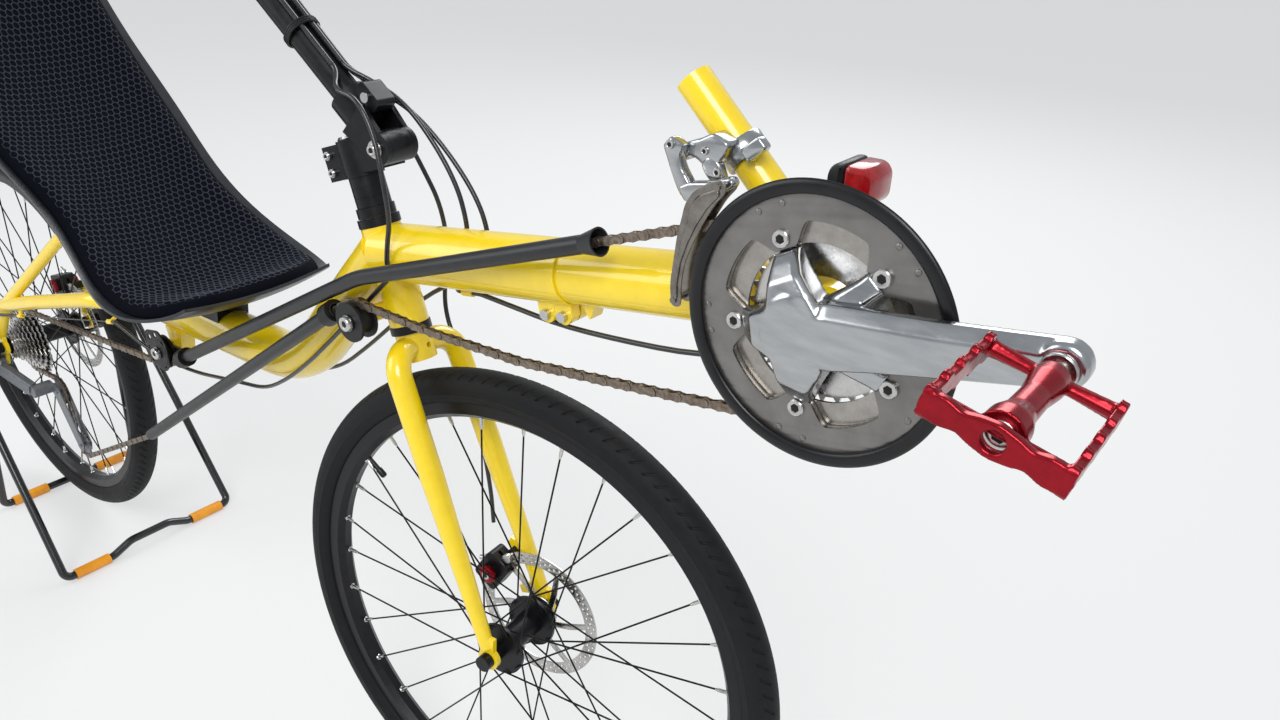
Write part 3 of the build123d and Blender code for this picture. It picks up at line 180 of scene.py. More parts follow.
# %% Floor and lamps
FLOOR_HALF = 14.0
FLOOR_GLOW = 0.55
LAMP_AIM = Vector((-0.3, 0, 0.5))
floor_mesh = bpy.data.meshes.new("studio_floor")
floor_mesh.from_pydata([(-FLOOR_HALF, -FLOOR_HALF, 0), (FLOOR_HALF, -FLOOR_HALF, 0),
                        (FLOOR_HALF, FLOOR_HALF, 0), (-FLOOR_HALF, FLOOR_HALF, 0)], [], [(0, 1, 2, 3)])
floor = bpy.data.objects.new("studio_floor", floor_mesh)
scene.collection.objects.link(floor)
floor_paint = bpy.data.materials.new("pale_floor")
floor_paint.use_nodes = True
paint = floor_paint.node_tree
matt = feed(paint, paint.nodes["Principled BSDF"], Base_Color=(0.74, 0.74, 0.73, 1), Roughness=0.85)
glow = node_of(paint, "Emission", Color=(0.90, 0.905, 0.91, 1), Strength=1.0)
rays = node_of(paint, "LightPath").outputs
seen = rays["Is Camera Ray"]
for kind in ("Is Glossy Ray", "Is Transmission Ray"):
    either = node_of(paint, "Math", seen, rays[kind])
    either.operation = "MAXIMUM"
    seen = either.outputs[0]
glow_share = node_of(paint, "Math", seen, FLOOR_GLOW)
glow_share.operation = "MULTIPLY"
floor_mix = node_of(paint, "MixShader", glow_share.outputs[0], matt.outputs[0], glow.outputs[0])
feed(paint, paint.nodes["Material Output"], Surface=floor_mix.outputs[0])
floor_mesh.materials.append(floor_paint)

# name, place, size, power
LAMPS = (
    ("key", (1.6, -2.6, 3.4), 2.2, 105),
    ("fill", (-2.6, -2.2, 2.2), 2.6, 45),
    ("back", (-1.0, 3.0, 3.0), 2.4, 75),
)
for lamp_name, place, size, power in LAMPS:
    lamp_data = bpy.data.lights.new(lamp_name, "AREA")
    lamp_data.shape = "DISK"
    lamp_data.size = size
    lamp_data.energy = power
    lamp = bpy.data.objects.new(lamp_name, lamp_data)
    lamp.location = place
    lamp.rotation_euler = (LAMP_AIM - Vector(place)).to_track_quat("-Z", "Y").to_euler()
    scene.collection.objects.link(lamp)
print("lamps", [row[0] for row in LAMPS])

# %% [markdown]
# ## A kit for finishes
# Nearly every finish here is a Principled shader with three small touches: a colour that wanders
# a little, a roughness that wanders with it, and a fine bump. One helper makes that, and each
# material below says what is special about it. Noise runs in object coordinates, which are
# metres, so a scale of 400 gives grains of about 2.5 mm.

# %% A helper for finishes


def finish(name, colour, shade, metallic=0.0, roughness=0.4, rough_swing=0.1, grain=120.0,
           bump=0.0, bump_grain=None, stretch=(1, 1, 1), coat=0.0, sheen=0.0, gloss=0.5):
    """A Principled material whose colour and roughness wander with noise, with a fine bump."""
    made = bpy.data.materials.new(name)
    made.use_nodes = True
    tree = made.node_tree
    place = node_of(tree, "TexCoord").outputs["Object"]
    spread = node_of(tree, "Mapping", Vector=place, Scale=stretch).outputs[0]
    noise = node_of(tree, "TexNoise", Vector=spread, Scale=grain, Detail=5.0, Roughness=0.6).outputs["Fac"]
    tint = node_of(tree, "ValToRGB", Fac=noise)
    for stop, position, shown in zip(tint.color_ramp.elements, (0.32, 0.68), (shade, colour)):
        stop.position = position
        stop.color = (*shown, 1)
    rough = node_of(tree, "MapRange", Value=noise, From_Min=0.3, From_Max=0.7,
                    To_Min=roughness - rough_swing / 2, To_Max=roughness + rough_swing / 2)
    shader = feed(tree, tree.nodes["Principled BSDF"], Base_Color=tint.outputs["Color"], Metallic=metallic,
                  Roughness=rough.outputs[0], Coat_Weight=coat, Coat_Roughness=0.05, Sheen_Weight=sheen,
                  Specular_IOR_Level=gloss)
    if bump > 0:
        fine = node_of(tree, "TexNoise", Vector=spread, Scale=bump_grain or grain * 4, Detail=3.0)
        relief = node_of(tree, "Bump", Strength=bump, Distance=0.0004, Height=fine.outputs["Fac"])
        feed(tree, shader, Normal=relief.outputs[0])
    return made


print("a helper for Principled materials")

# %% [markdown]
# ## The finishes
# Yellow is a glossy coat over pigment, with a little dust in it. The black parts are anodised
# alloy, plastic and rubber, which differ mostly in gloss. Polished alloy is a near mirror with
# faint long scratches, while the big ring is dull grey and turned on a lathe.

# %% The finishes
FINISHES = {
    "frame_paint": finish("yellow_paint", (0.92, 0.67, 0.004), (0.87, 0.61, 0.004), roughness=0.32,
                          rough_swing=0.08, grain=60, bump=0.06, bump_grain=900, coat=0.8),
    "black_alloy": finish("black_anodised", (0.010, 0.010, 0.012), (0.006, 0.006, 0.008), metallic=0.3,
                          roughness=0.34, rough_swing=0.12, grain=90, bump=0.08, gloss=0.35),
    "steel": finish("bright_steel", (0.62, 0.61, 0.60), (0.48, 0.47, 0.46), metallic=1.0, roughness=0.24,
                    rough_swing=0.16, grain=150, bump=0.05),
    "polished_alloy": finish("polished_alloy", (0.47, 0.48, 0.49), (0.38, 0.39, 0.40), metallic=1.0,
                             roughness=0.20, rough_swing=0.08, grain=70, bump=0.03, bump_grain=700,
                             stretch=(0.4, 1, 1.6)),
    "grey_alloy": finish("grey_painted_alloy", (0.23, 0.24, 0.26), (0.17, 0.18, 0.20), metallic=0.6,
                         roughness=0.38, grain=110, bump=0.05),
    "black_plastic": finish("moulded_black", (0.009, 0.009, 0.010), (0.005, 0.005, 0.006), gloss=0.3,
                            roughness=0.42, rough_swing=0.14, grain=80, bump=0.10, bump_grain=1600),
    "spoke_steel": finish("blacked_spokes", (0.015, 0.015, 0.016), (0.008, 0.008, 0.009), metallic=0.8,
                          roughness=0.32, grain=200),
    "grip_rubber": finish("grip_rubber", (0.020, 0.020, 0.021), (0.012, 0.012, 0.013), roughness=0.78,
                          grain=160, bump=0.4, bump_grain=1100),
    "red_alloy": finish("red_anodised", (0.34, 0.006, 0.016), (0.24, 0.004, 0.011), metallic=0.8,
                        roughness=0.28, rough_swing=0.12, grain=90, bump=0.06, coat=0.1),
    "red_lens": finish("red_lens", (0.40, 0.005, 0.008), (0.20, 0.002, 0.004), roughness=0.16,
                       rough_swing=0.06, grain=160, coat=0.3),
    "stand_steel": finish("black_paint", (0.009, 0.009, 0.010), (0.005, 0.005, 0.006), roughness=0.30,
                          grain=70, bump=0.08, coat=0.5),
    "yellow_plastic": finish("amber_sleeve", (0.88, 0.36, 0.012), (0.74, 0.26, 0.008), roughness=0.36,
                             grain=50, bump=0.08, coat=0.3),
    "chain_steel": finish("oiled_chain", (0.30, 0.25, 0.20), (0.12, 0.09, 0.07), metallic=0.9, roughness=0.38,
                          rough_swing=0.2, grain=260, bump=0.1),
    "seat_fabric": finish("seat_mesh", (0.020, 0.023, 0.034), (0.010, 0.012, 0.020), roughness=0.82,
                          grain=300, bump=0.5, bump_grain=1500, sheen=0.3),
    "tyre_rubber": finish("tyre_rubber", (0.009, 0.0095, 0.011), (0.005, 0.005, 0.006), gloss=0.22,
                          roughness=0.62, rough_swing=0.16, grain=70, bump=0.25, bump_grain=900),
    "ring_alloy": finish("dull_grey_alloy", (0.245, 0.235, 0.225), (0.185, 0.178, 0.170), metallic=0.85,
                         roughness=0.36, rough_swing=0.1, grain=40, bump=0.05),
}
slot_of = {row["node"]: row["material_slot"] for row in frame["record"]["subparts"]}
for node_name, node_object in nodes.items():
    node_object.data.materials.clear()
    node_object.data.materials.append(FINISHES[slot_of[node_name]])
print("finishes", len(FINISHES), "given to", len(nodes), "nodes")

# %% [markdown]
# ## A kit for shapes
# Most small parts of a bicycle are turned, bent from bar or cut from plate. Three helpers make
# these: `lathe` turns a profile about an axis, `bar` runs a round section along points, and
# `plate` cuts a flat sheet with holes. Each gives a Form, and a Form can take in others.
# Plates come from a filled 2D curve, because its fill keeps holes open and its bevel eases edges.

# %% Forms


class Form:
    """Points and faces that are gathered into one piece."""

    def __init__(self, points=(), faces=()):
        self.points = [Vector(point) for point in points]
        self.faces = [list(face) for face in faces]

    def add(self, *others):
        """Take in other forms."""
        for other in others:
            start = len(self.points)
            self.points += other.points
            self.faces += [[start + k for k in face] for face in other.faces]
        return self


def skin(rings, closed=False, around=True, capped=True):
    """A form through rings of equally many points, closed into a loop or capped at its ends."""
    form = Form([point for ring in rings for point in ring])
    count = len(rings[0])
    for j in range(len(rings) if closed else len(rings) - 1):
        near, far = j * count, (j + 1) % len(rings) * count
        for k in range(count if around else count - 1):
            beside = (k + 1) % count
            form.faces.append([near + k, near + beside, far + beside, far + k])
    if capped and not closed:
        form.faces.append(list(range(count)))
        form.faces.append([(len(rings) - 1) * count + k for k in range(count)])
    return form


def lathe(profile, start, axis, steps=40, closed=False, ribs=0):
    """A profile of (radius, height) in mm turned about an axis, with rounded ribs if wanted."""
    axis = Vector(axis).normalized()
    first = axis.orthogonal().normalized()
    second = axis.cross(first)
    rings = []
    for radius, height in profile:
        ring = []
        for k in range(steps):
            turn = 2 * math.pi * k / steps
            reach = radius * (1 + 0.06 * math.cos(turn * ribs)) if ribs else radius
            spoke = first * math.cos(turn) + second * math.sin(turn)
            ring.append(Vector(start) + axis * (height * MM) + spoke * (reach * MM))
        rings.append(ring)
    return skin(rings, closed)


def bar(route, radius, steps=12):
    """A round bar along a list of points, with its radius in mm."""
    first = (route[1] - route[0]).normalized().orthogonal().normalized()
    rings = []
    for k, place in enumerate(route):
        before, after = route[max(k - 1, 0)], route[min(k + 1, len(route) - 1)]
        turned_to = (after - before).normalized()
        first = (first - turned_to * first.dot(turned_to)).normalized()
        second = turned_to.cross(first)
        turns = [2 * math.pi * step / steps for step in range(steps)]
        rings.append([place + (first * math.cos(turn) + second * math.sin(turn)) * (radius * MM)
                      for turn in turns])
    return skin(rings)


print("forms are turned by lathe() and bent by bar()")

# %% [markdown]
# ## Plates and outlines
# An outline is a list of corners in millimetres. Its corners can be eased, holes are further
# outlines inside the first, and the finished plate is stood up as the bicycle's right side shows it.

# %% Plates


def mesh_of(holder):
    """The final mesh of an object as a form; the object is removed."""
    scene.collection.objects.link(holder)
    bpy.context.view_layer.update()
    mesh = bpy.data.meshes.new_from_object(holder.evaluated_get(bpy.context.evaluated_depsgraph_get()))
    form = Form([vertex.co for vertex in mesh.vertices], [polygon.vertices for polygon in mesh.polygons])
    bpy.data.meshes.remove(mesh)
    bpy.data.objects.remove(holder)
    return form


def ring_of(x, z, radius, steps=24):
    """A round outline."""
    turns = [2 * math.pi * k / steps for k in range(steps)]
    return [(x + radius * math.cos(turn), z + radius * math.sin(turn)) for turn in turns]


def eased(corners, cut, steps=4):
    """An outline whose corners are rounded, starting a cut's length before each corner."""
    outline = []
    for k, corner in enumerate(corners):
        here = Vector(corner)
        before, after = Vector(corners[k - 1]), Vector(corners[(k + 1) % len(corners)])
        start = here + (before - here).normalized() * min(cut, (before - here).length * 0.45)
        end = here + (after - here).normalized() * min(cut, (after - here).length * 0.45)
        for step in range(steps + 1):
            t = step / steps
            outline.append(tuple(start * (1 - t) ** 2 + here * 2 * t * (1 - t) + end * t ** 2))
    return outline


def plate(outlines, thick, ease=0.4):
    """A flat plate in mm, cut from closed outlines, lying on its own x and y."""
    flat = bpy.data.curves.new("plate", "CURVE")
    flat.dimensions = "2D"
    flat.fill_mode = "BOTH"
    flat.extrude = thick / 2 - ease
    flat.bevel_depth = ease
    flat.bevel_resolution = 1
    flat.offset = -ease
    for outline in outlines:
        spline = flat.splines.new("POLY")
        spline.points.add(len(outline) - 1)
        for spot, (x, z) in zip(spline.points, outline):
            spot.co = (x, z, 0, 1)
        spline.use_cyclic_u = True
    return mesh_of(bpy.data.objects.new("plate", flat))


def side_plate(y, outlines, thick, ease=0.4, centre=(0, 0), turn=0.0):
    """A plate that stands as the right side shows it, with its middle at y in mm."""
    form = plate(outlines, thick, ease)
    middle = Vector((centre[0], y, centre[1]))
    form.points = [(middle + forward_at(turn) * p.x + upward_at(turn) * p.y + RIGHT * p.z) * MM
                   for p in form.points]
    return form


print("a square plate has", len(plate([((0, 0), (9, 0), (9, 9), (0, 9))], 2).faces), "faces")

# %% [markdown]
# ## From form to piece
# A form becomes a piece when its faces look outward, its shading is soft with crisp edges, and it
# rides on its body with a finish. Forgings are melted first: a voxel remesh joins their blocks into
# one skin, and a few rounds of smoothing soften it. Socket bolts come back all over the bicycle.

# %% Pieces


def outward_mesh(name, form, weld=0.0):
    """A mesh of a form with its faces turned outward, and its double points welded if wanted."""
    mesh = bpy.data.meshes.new(name)
    mesh.from_pydata([tuple(point) for point in form.points], [], form.faces)
    work = bmesh.new()
    work.from_mesh(mesh)
    if weld:
        bmesh.ops.remove_doubles(work, verts=work.verts, dist=weld)
    bmesh.ops.recalc_face_normals(work, faces=work.faces)
    work.to_mesh(mesh)
    work.free()
    return mesh


def finished(name, form, body, slot, stands_for=(), look=None, sharp=38):
    """Make a piece of a form, give it its finish and let it ride on its body."""
    mesh = outward_mesh(name, form, 2e-6)
    if body in STEERED_BODIES:
        mesh.transform(STEER)
    mesh.polygons.foreach_set("use_smooth", [True] * len(mesh.polygons))
    mesh.set_sharp_from_angle(angle=math.radians(sharp))
    mesh.materials.append(look or FINISHES[slot])
    piece = bpy.data.objects.new(name, mesh)
    scene.collection.objects.link(piece)
    if body:
        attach(piece, body)
    if stands_for:
        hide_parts(*stands_for)
    print(name, "triangles", sum(len(face.vertices) - 2 for face in mesh.polygons))
    return piece


def melted(form, voxel, rounds):
    """A form whose parts are melted into one by a voxel remesh, and softened at its edges."""
    holder = bpy.data.objects.new("melted", outward_mesh("melted", form))
    remesh = holder.modifiers.new("remesh", "REMESH")
    remesh.mode = "VOXEL"
    remesh.voxel_size = voxel * MM
    soften = holder.modifiers.new("soften", "SMOOTH")
    soften.factor = 0.5
    soften.iterations = rounds
    return mesh_of(holder)


def socket_bolt(heads, socket_shades, place, axis, radius, height, hexagon=0.5):
    """Add a cap head that stands on a place, and painted shade: a near-black hexagon in its socket."""
    hollow = radius * hexagon
    heads.add(lathe([(radius, 0), (radius, height * 0.75), (radius * 0.9, height),
                     (hollow * 1.25, height), (hollow * 1.15, height * 0.93)], place, axis, 24))
    socket_shades.add(lathe([(hollow * 1.13, height * 0.935), (hollow * 1.1, height * 0.945)], place, axis, 6))


def bolts_finished(name, heads, socket_shades, body, stands_for=()):
    """Make the two pieces of a set of socket bolts: the heads and the painted shade of each socket."""
    finished(name + "_heads", heads, body, "steel", stands_for)
    finished(name + "_sockets", socket_shades, body, "steel", look=SOCKET_SHADE)


print("pieces on", STEERED_BODIES, "are turned with the front end")

# %% [markdown]
# ## More finishes
# A few finishes belong to details that have no node of their own in the CAD model: the lighter
# threads of the seat's net, painted shade in its cells and in a bolt's socket, and the dark red washers.
# A few CAD nodes also look better with a finish of their own than with their slot's.

# %% More finishes
THREAD = finish("net_threads", (0.020, 0.025, 0.042), (0.011, 0.014, 0.026), gloss=0.25,
                roughness=0.72, grain=700, bump=0.35, bump_grain=2600, sheen=0.08)
# Painted shade: the near-black of the net's cells stands for the shade down inside each open cell.
CELL_SHADE = finish("net_cell_painted_shade", (0.0022, 0.003, 0.007), (0.0012, 0.0016, 0.004), roughness=0.9, grain=500,
              bump=0.4, bump_grain=2200, gloss=0.08)
# Painted shade: a near-black for the shade down in a bolt's six-sided socket.
SOCKET_SHADE = finish("socket_painted_shade", (0.012, 0.012, 0.012), (0.006, 0.006, 0.006), metallic=0.4, roughness=0.5,
                grain=300)
DARK_RED = finish("dark_red_washer", (0.22, 0.008, 0.03), (0.15, 0.005, 0.02), metallic=0.8, roughness=0.3,
                  grain=200, coat=0.3)
SHELL_LOOK = finish("seat_shell_satin", (0.026, 0.029, 0.034), (0.017, 0.019, 0.023), roughness=0.36,
                    rough_swing=0.12, grain=40, bump=0.12, bump_grain=1300, coat=0.15)
GUARD_LOOK = finish("guard_gloss_black", (0.007, 0.007, 0.008), (0.004, 0.004, 0.005), gloss=0.35,
                    roughness=0.3, rough_swing=0.1, grain=50, bump=0.05, bump_grain=700)
TUBE_LOOK = finish("guide_tube_grey", (0.018, 0.0185, 0.020), (0.011, 0.0115, 0.0125), gloss=0.4,
                   roughness=0.36, rough_swing=0.12, grain=50, bump=0.1, bump_grain=900)
HOUSING_LOOK = finish("cable_housing", (0.016, 0.016, 0.018), (0.010, 0.010, 0.012), roughness=0.30,
                      rough_swing=0.1, grain=90, coat=0.3)
CAGE_LOOK = finish("cage_steel", (0.26, 0.24, 0.215), (0.17, 0.155, 0.14), metallic=0.95, roughness=0.3,
                   rough_swing=0.14, grain=120, bump=0.05)
WALL_LOOK = finish("ring_walls", (0.42, 0.40, 0.37), (0.30, 0.28, 0.26), metallic=0.95, roughness=0.26,
                   rough_swing=0.12, grain=80, bump=0.04)
NUT_LOOK = finish("black_nut", (0.02, 0.02, 0.022), (0.012, 0.012, 0.013), metallic=0.6,
                  roughness=0.3, grain=200)
OWN_LOOKS = {"seat_shell": SHELL_LOOK, "chain_tubes": TUBE_LOOK, "rear_cables": HOUSING_LOOK,
             "bar_cables": HOUSING_LOOK, "front_brake_cable": HOUSING_LOOK, "front_axle": NUT_LOOK,
             "rear_axle": NUT_LOOK, "middle_ring": WALL_LOOK}
for node, look in OWN_LOOKS.items():
    nodes[node].data.materials.clear()
    nodes[node].data.materials.append(look)
print("nodes with a finish of their own", len(OWN_LOOKS))

# %% [markdown]
# ## The loops over the steering joint
# Three cable housings leave the riser and swing down to the frame in free arcs, so that the bar
# can turn. They are the one soft piece that crosses a joint. A NURBS spline through a few points
# is the natural line of a springy housing; the mesh tube on it then bends between the two bodies.

# %% Cable loops
RISER_FOOT = mm(-190, 0, 862)
RISER_DIR = Vector((-math.cos(math.radians(39.3)), 0, math.sin(math.radians(39.3))))
RISER_ACROSS = Vector((RISER_DIR.z, 0, -RISER_DIR.x))
RISER_LINE = 17.1
BOOM_SLOPE = math.radians(10.6)
BOOM_CABLE_DROP = 33.5
HOUSING_RADIUS = 2.5
LOOP_END = 744


def on_riser(reach, turn, lift=RISER_LINE):
    """A point beside the riser by mm up it, degrees from its upper side and mm from its middle."""
    angle = math.radians(turn)
    outward = RISER_ACROSS * (lift * math.cos(angle)) + Vector((0, lift * math.sin(angle), 0))
    return RISER_FOOT + RISER_DIR * (reach * MM) + outward * MM


def on_boom(x, drop=0.0):
    """A point by its x along the boom and its distance below the boom's middle line, in mm."""
    run = (x * MM - CRANK_AXLE.x) / math.cos(BOOM_SLOPE)
    return CRANK_AXLE + forward_at(BOOM_SLOPE) * run - upward_at(BOOM_SLOPE) * (drop * MM)


def smooth_line(points):
    """Points along the NURBS spline that a route's points control."""
    curve = bpy.data.curves.new("route", "CURVE")
    curve.dimensions = "3D"
    curve.resolution_u = 12
    spline = curve.splines.new("NURBS")
    spline.points.add(len(points) - 1)
    for spot, place in zip(spline.points, points):
        spot.co = (*place, 1)
    spline.order_u = 3
    spline.use_endpoint_u = True
    return mesh_of(bpy.data.objects.new("route", curve)).points


# angle round the riser, the points after its clip in mm
LOOPS = (
    (-30, ((-206, -26, 898), (-172, -27, 897), (-148, -28, 866), (-132, -34, 822), (-127, -34, 785),
           (-134, -34, 760), (-136, -34, LOOP_END))),
    (10, ((-204, 20, 900), (-166, 27, 884), (-132, 33, 848), (-106, 36, 810), (-94, 35, 778),
          (-92, 34, 758), (-92, 34, LOOP_END))),
    (30, ((-206, 28, 890), (-164, 36, 874), (-124, 44, 838), (-90, 48, 798), (-74, 47, 762), (-74, 42, 728),
          (-90, 16, 711))),
)
loops = Form()
for turn, rest in LOOPS:
    route = [STEER @ on_riser(reach, turn) for reach in (66, 58)]
    route += [mm(*point) for point in rest]
    if rest[-1][2] != LOOP_END:
        route += [on_boom(x, BOOM_CABLE_DROP) for x in (-78, -70.6)]
    loops.add(bar(smooth_line(route), HOUSING_RADIUS))
loop_piece = finished("loop_housings", loops, None, "black_plastic", ["loop_cables"], HOUSING_LOOK)
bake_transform(loop_piece)
print("loops", len(LOOPS))

# %% [markdown]
# ## Tyres
# The tyres are nearly slick, with short slanted grooves on both shoulders and a moulded line on
# the wall. A turned profile would need its grooves cut afterwards. Instead the rings of points are
# sheared along the slant, so that every groove runs along rows of points and needs few of them.

# %% Tyres
TYRE_SECTION = 19.6 * MM
GROOVES = 118
GROOVE_STEPS = (0.0, 0.10, 0.14, 0.30, 0.34)
GROOVE_DEPTH = 0.9 * MM
GROOVE_BAND = (20, 52)
SHEAR, SHEAR_FROM, SHEAR_RUN = 0.75, 13, 40
WALL_LINE, WALL_LINE_HEIGHT = (99, 101), 0.35 * MM
# angle from the crown in degrees for half the profile
HALF_PROFILE = (0, 7, 13, 19, 21, 30, 40, 50, 52, 62, 74, 86, 97, 99, 101, 103, 112, 122, 131, 138)
profile_angles = [-angle for angle in reversed(HALF_PROFILE[1:])] + list(HALF_PROFILE)


def tyre_form(axle):
    """A tyre, ring by ring from one bead to the other."""
    rings = []
    for angle in profile_angles:
        lean = math.radians(angle)
        slant = SHEAR * max(0.0, abs(angle) - SHEAR_FROM) / SHEAR_RUN
        ring = []
        for k in range(GROOVES * len(GROOVE_STEPS)):
            groove, step = divmod(k, len(GROOVE_STEPS))
            part = GROOVE_STEPS[step]
            turn = 2 * math.pi * (groove + part + slant) / GROOVES
            section = TYRE_SECTION
            if GROOVE_BAND[0] < abs(angle) < GROOVE_BAND[1] and 0.12 < part < 0.32:
                section -= GROOVE_DEPTH
            if abs(angle) in WALL_LINE:
                section += WALL_LINE_HEIGHT
            radius = TYRE_RADIUS - TYRE_SECTION + section * math.cos(lean)
            y = section * math.sin(lean)
            ring.append(axle + Vector((radius * math.cos(turn), y, radius * math.sin(turn))))
        rings.append(ring)
    return skin(rings, closed=True)


for name, axle in (("front", FRONT_AXLE), ("rear", REAR_AXLE)):
    finished(name + "_tyre_tread", tyre_form(axle), name + "_wheel", "tyre_rubber", [name + "_tyre"],
             sharp=50)

# %% [markdown]
# ## Nipples, eyelets and brake discs
# A spoke ends in a bright nipple that sits in an eyelet of the rim. The brake discs are thin
# stainless rings, drilled with many small holes, on six slanted arms. Their holes must be open,
# so each disc is a plate with its holes as outlines.

# %% Wheel details
SPOKES = 32
RIM_INNER = 265.5
FLANGE_RADIUS, FLANGE_STEP, CROSSING = 27, 4.2, 62
ARM = ((21, -9), (44, -2.5), (66.5, 8), (66.5, 15.5), (40, 4), (21, -2))
NIPPLE = ((2.1, -1), (2.1, 8), (1.5, 12.5), (1.2, 13))
EYELET = ((3.6, -0.6), (3.6, 0.6), (3.0, 1.1), (2.2, 0.8))
DISC_BOLT = ((3.4, 0), (3.4, 1.6), (2.2, 2.2), (1.2, 1.2))
VALVE = ((3.0, -1), (3.0, 16), (3.9, 17), (3.9, 26), (2.6, 28))
VALVE_TURN = math.radians(146)
NIPPLE_LOOK = finish("nipple_silver", (0.68, 0.68, 0.67), (0.52, 0.52, 0.52), metallic=1.0,
                     roughness=0.26, grain=300)
ROTOR_LOOK = finish("rotor_stainless", (0.60, 0.59, 0.57), (0.47, 0.46, 0.45), metallic=1.0,
                    roughness=0.28, rough_swing=0.16, grain=160, bump=0.08, bump_grain=1200)
# name, axle, flange y left and right in mm, rotor y
WHEELS = (
    ("front", FRONT_AXLE, 24.0, -34.0, 38.6),
    ("rear", REAR_AXLE, 34.0, -19.4, 51.3),
)


def nipples_of(axle, left_y, right_y):
    """The nipples and eyelets of a wheel's crossed spokes."""
    form = Form()
    for k in range(SPOKES):
        left = k % 2 == 0
        trailing = (k // 2) % 2 == 0
        at_rim = 2 * math.pi * k / SPOKES
        at_hub = at_rim + math.radians(CROSSING if trailing else -CROSSING)
        flange_y = (left_y if left else right_y) + (FLANGE_STEP if trailing else -FLANGE_STEP)
        hub_end = axle + forward_at(at_hub) * (FLANGE_RADIUS * MM) + mm(0, flange_y, 0)
        rim_end = axle + forward_at(at_rim) * (RIM_INNER * MM) + mm(0, 2.5 if left else -2.5, 0)
        inward = (hub_end - rim_end).normalized()
        form.add(lathe(NIPPLE, rim_end, inward, 8),
                 lathe(EYELET, rim_end - inward * 0.2 * MM, -forward_at(at_rim), 12))
    return form


def drilled_disc(axle, y):
    """A brake disc: a drilled ring and a small ring, joined by six slanted arms."""
    outlines = [ring_of(0, 0, 80, 120), ring_of(0, 0, 65.5, 96)]
    for k in range(36):
        for ring_at, shift in ((69.2, 0.0), (72.8, 0.5), (76.4, 0.0)):
            turn = 2 * math.pi * (k + shift) / 36
            outlines.append(ring_of(ring_at * math.cos(turn), ring_at * math.sin(turn), 1.55, 10))
    centre = (axle.x / MM, axle.z / MM)
    form = side_plate(y, outlines, 1.8, 0.2, centre)
    form.add(side_plate(y, [ring_of(0, 0, 24, 48), ring_of(0, 0, 16.2, 40)], 1.8, 0.2, centre))
    for k in range(6):
        form.add(side_plate(y, [eased(ARM, 3)], 1.7, 0.2, centre, math.radians(60 * k)))
    return form


for name, axle, left_y, right_y, rotor_y in WHEELS:
    wheel = name + "_wheel"
    finished(name + "_nipples", nipples_of(axle, left_y, right_y), wheel, "steel", look=NIPPLE_LOOK)
    finished(name + "_drilled_disc", drilled_disc(axle, rotor_y), wheel, "steel", [name + "_rotor"],
             ROTOR_LOOK)
    bolts = Form()
    for k in range(6):
        spot = axle + forward_at(math.radians(60 * k + 10)) * (20 * MM) + mm(0, rotor_y + 0.9, 0)
        bolts.add(lathe(DISC_BOLT, spot, LEFT, 12))
    finished(name + "_disc_bolts", bolts, wheel, "steel", look=NUT_LOOK)
    outward = forward_at(VALVE_TURN)
    valve = lathe(VALVE, axle + outward * (RIM_INNER * MM), -outward, 14)
    finished(name + "_valve", valve, wheel, "black_plastic", look=NUT_LOOK)
print("spokes and discs for", len(WHEELS), "wheels")

# %% [markdown]
# ## The chain
# A chain is pairs of narrow and wide plates, pinned every half inch. Its path is the same loop of
# tangents and wraps as in the CAD source. The loop is walked link by link. Round the toothed
# wheels the rollers are left out, because the teeth stand there.

# %% Chain path
PITCH = 12.7
IDLER = 20.5


def pitch_radius(teeth):
    """The radius of a chain's pins on a wheel of so many teeth, in mm."""
    return PITCH * teeth / (2 * math.pi)


# x, y, z, radius, turn in mm: 1 with the chain round the ring, -1 the other way, 0 a bend
GUIDES = (
    (344.6, -45, 831.2, pitch_radius(39), 1),
    (-160, -54, 724, 0, 0),
    (-613, -47, 486, IDLER, -1),
    (-1119, -30.35, 331.1, pitch_radius(28), 1),
    (-1035, -32, 262, pitch_radius(11), -1),
    (-990, -32, 176, pitch_radius(11), 1),
    (-708, -47, 313, 0, 0),
    (-172, -50, 673, IDLER, -1),
    (-60, -49, 695, 0, 0),
    (60, -48, 704, 0, 0),
    (200, -47, 727, 0, 0),
)
TOOTHED = (0, 3, 4, 5)


def heading_between(first, second):
    """The heading of the straight run that touches two guides."""
    x1, _, z1, radius1, turn1 = first
    x2, _, z2, radius2, turn2 = second
    across = math.hypot(x2 - x1, z2 - z1)
    return math.atan2(z2 - z1, x2 - x1) + math.asin((turn1 * radius1 - turn2 * radius2) / across)


chain_line = []
headings = [heading_between(guide, GUIDES[(k + 1) % len(GUIDES)]) for k, guide in enumerate(GUIDES)]
for k, (x, y, z, radius, turn) in enumerate(GUIDES):
    came, goes = headings[k - 1], headings[k]
    sweep_by = ((goes - came) * turn) % (2 * math.pi) if turn else 0.0
    steps = max(1, int(sweep_by * radius / 2)) if turn else 0
    for step in range(steps + 1):
        at = came + turn * sweep_by * (step / steps if steps else 0)
        spot = Vector((x + math.sin(at) * turn * radius, y, z - math.cos(at) * turn * radius))
        chain_line.append((spot * MM, k in TOOTHED))
lengths = [0.0]
for (here, _), (there, _) in zip(chain_line, chain_line[1:] + chain_line[:1]):
    lengths.append(lengths[-1] + (there - here).length)
link_count = 2 * round(lengths[-1] / (2 * PITCH * MM))
print("chain length", round(lengths[-1], 3), "links", link_count)

# %% [markdown]
# ## The links
# A narrow link and a wide link take turns. On the real chain a pin is pressed through the outer
# plates and a roller turns on it, so each is a round piece of its own here too.

# %% Chain links
PLATE_END, PLATE_WAIST = 4.1, 3.1
NARROW, WIDE = (1.35, 2.08), (2.12, 2.85)
PIN_RADIUS, PIN_REACH, ROLLER_RADIUS, ROLLER_REACH = 1.7, 3.05, 3.8, 1.3


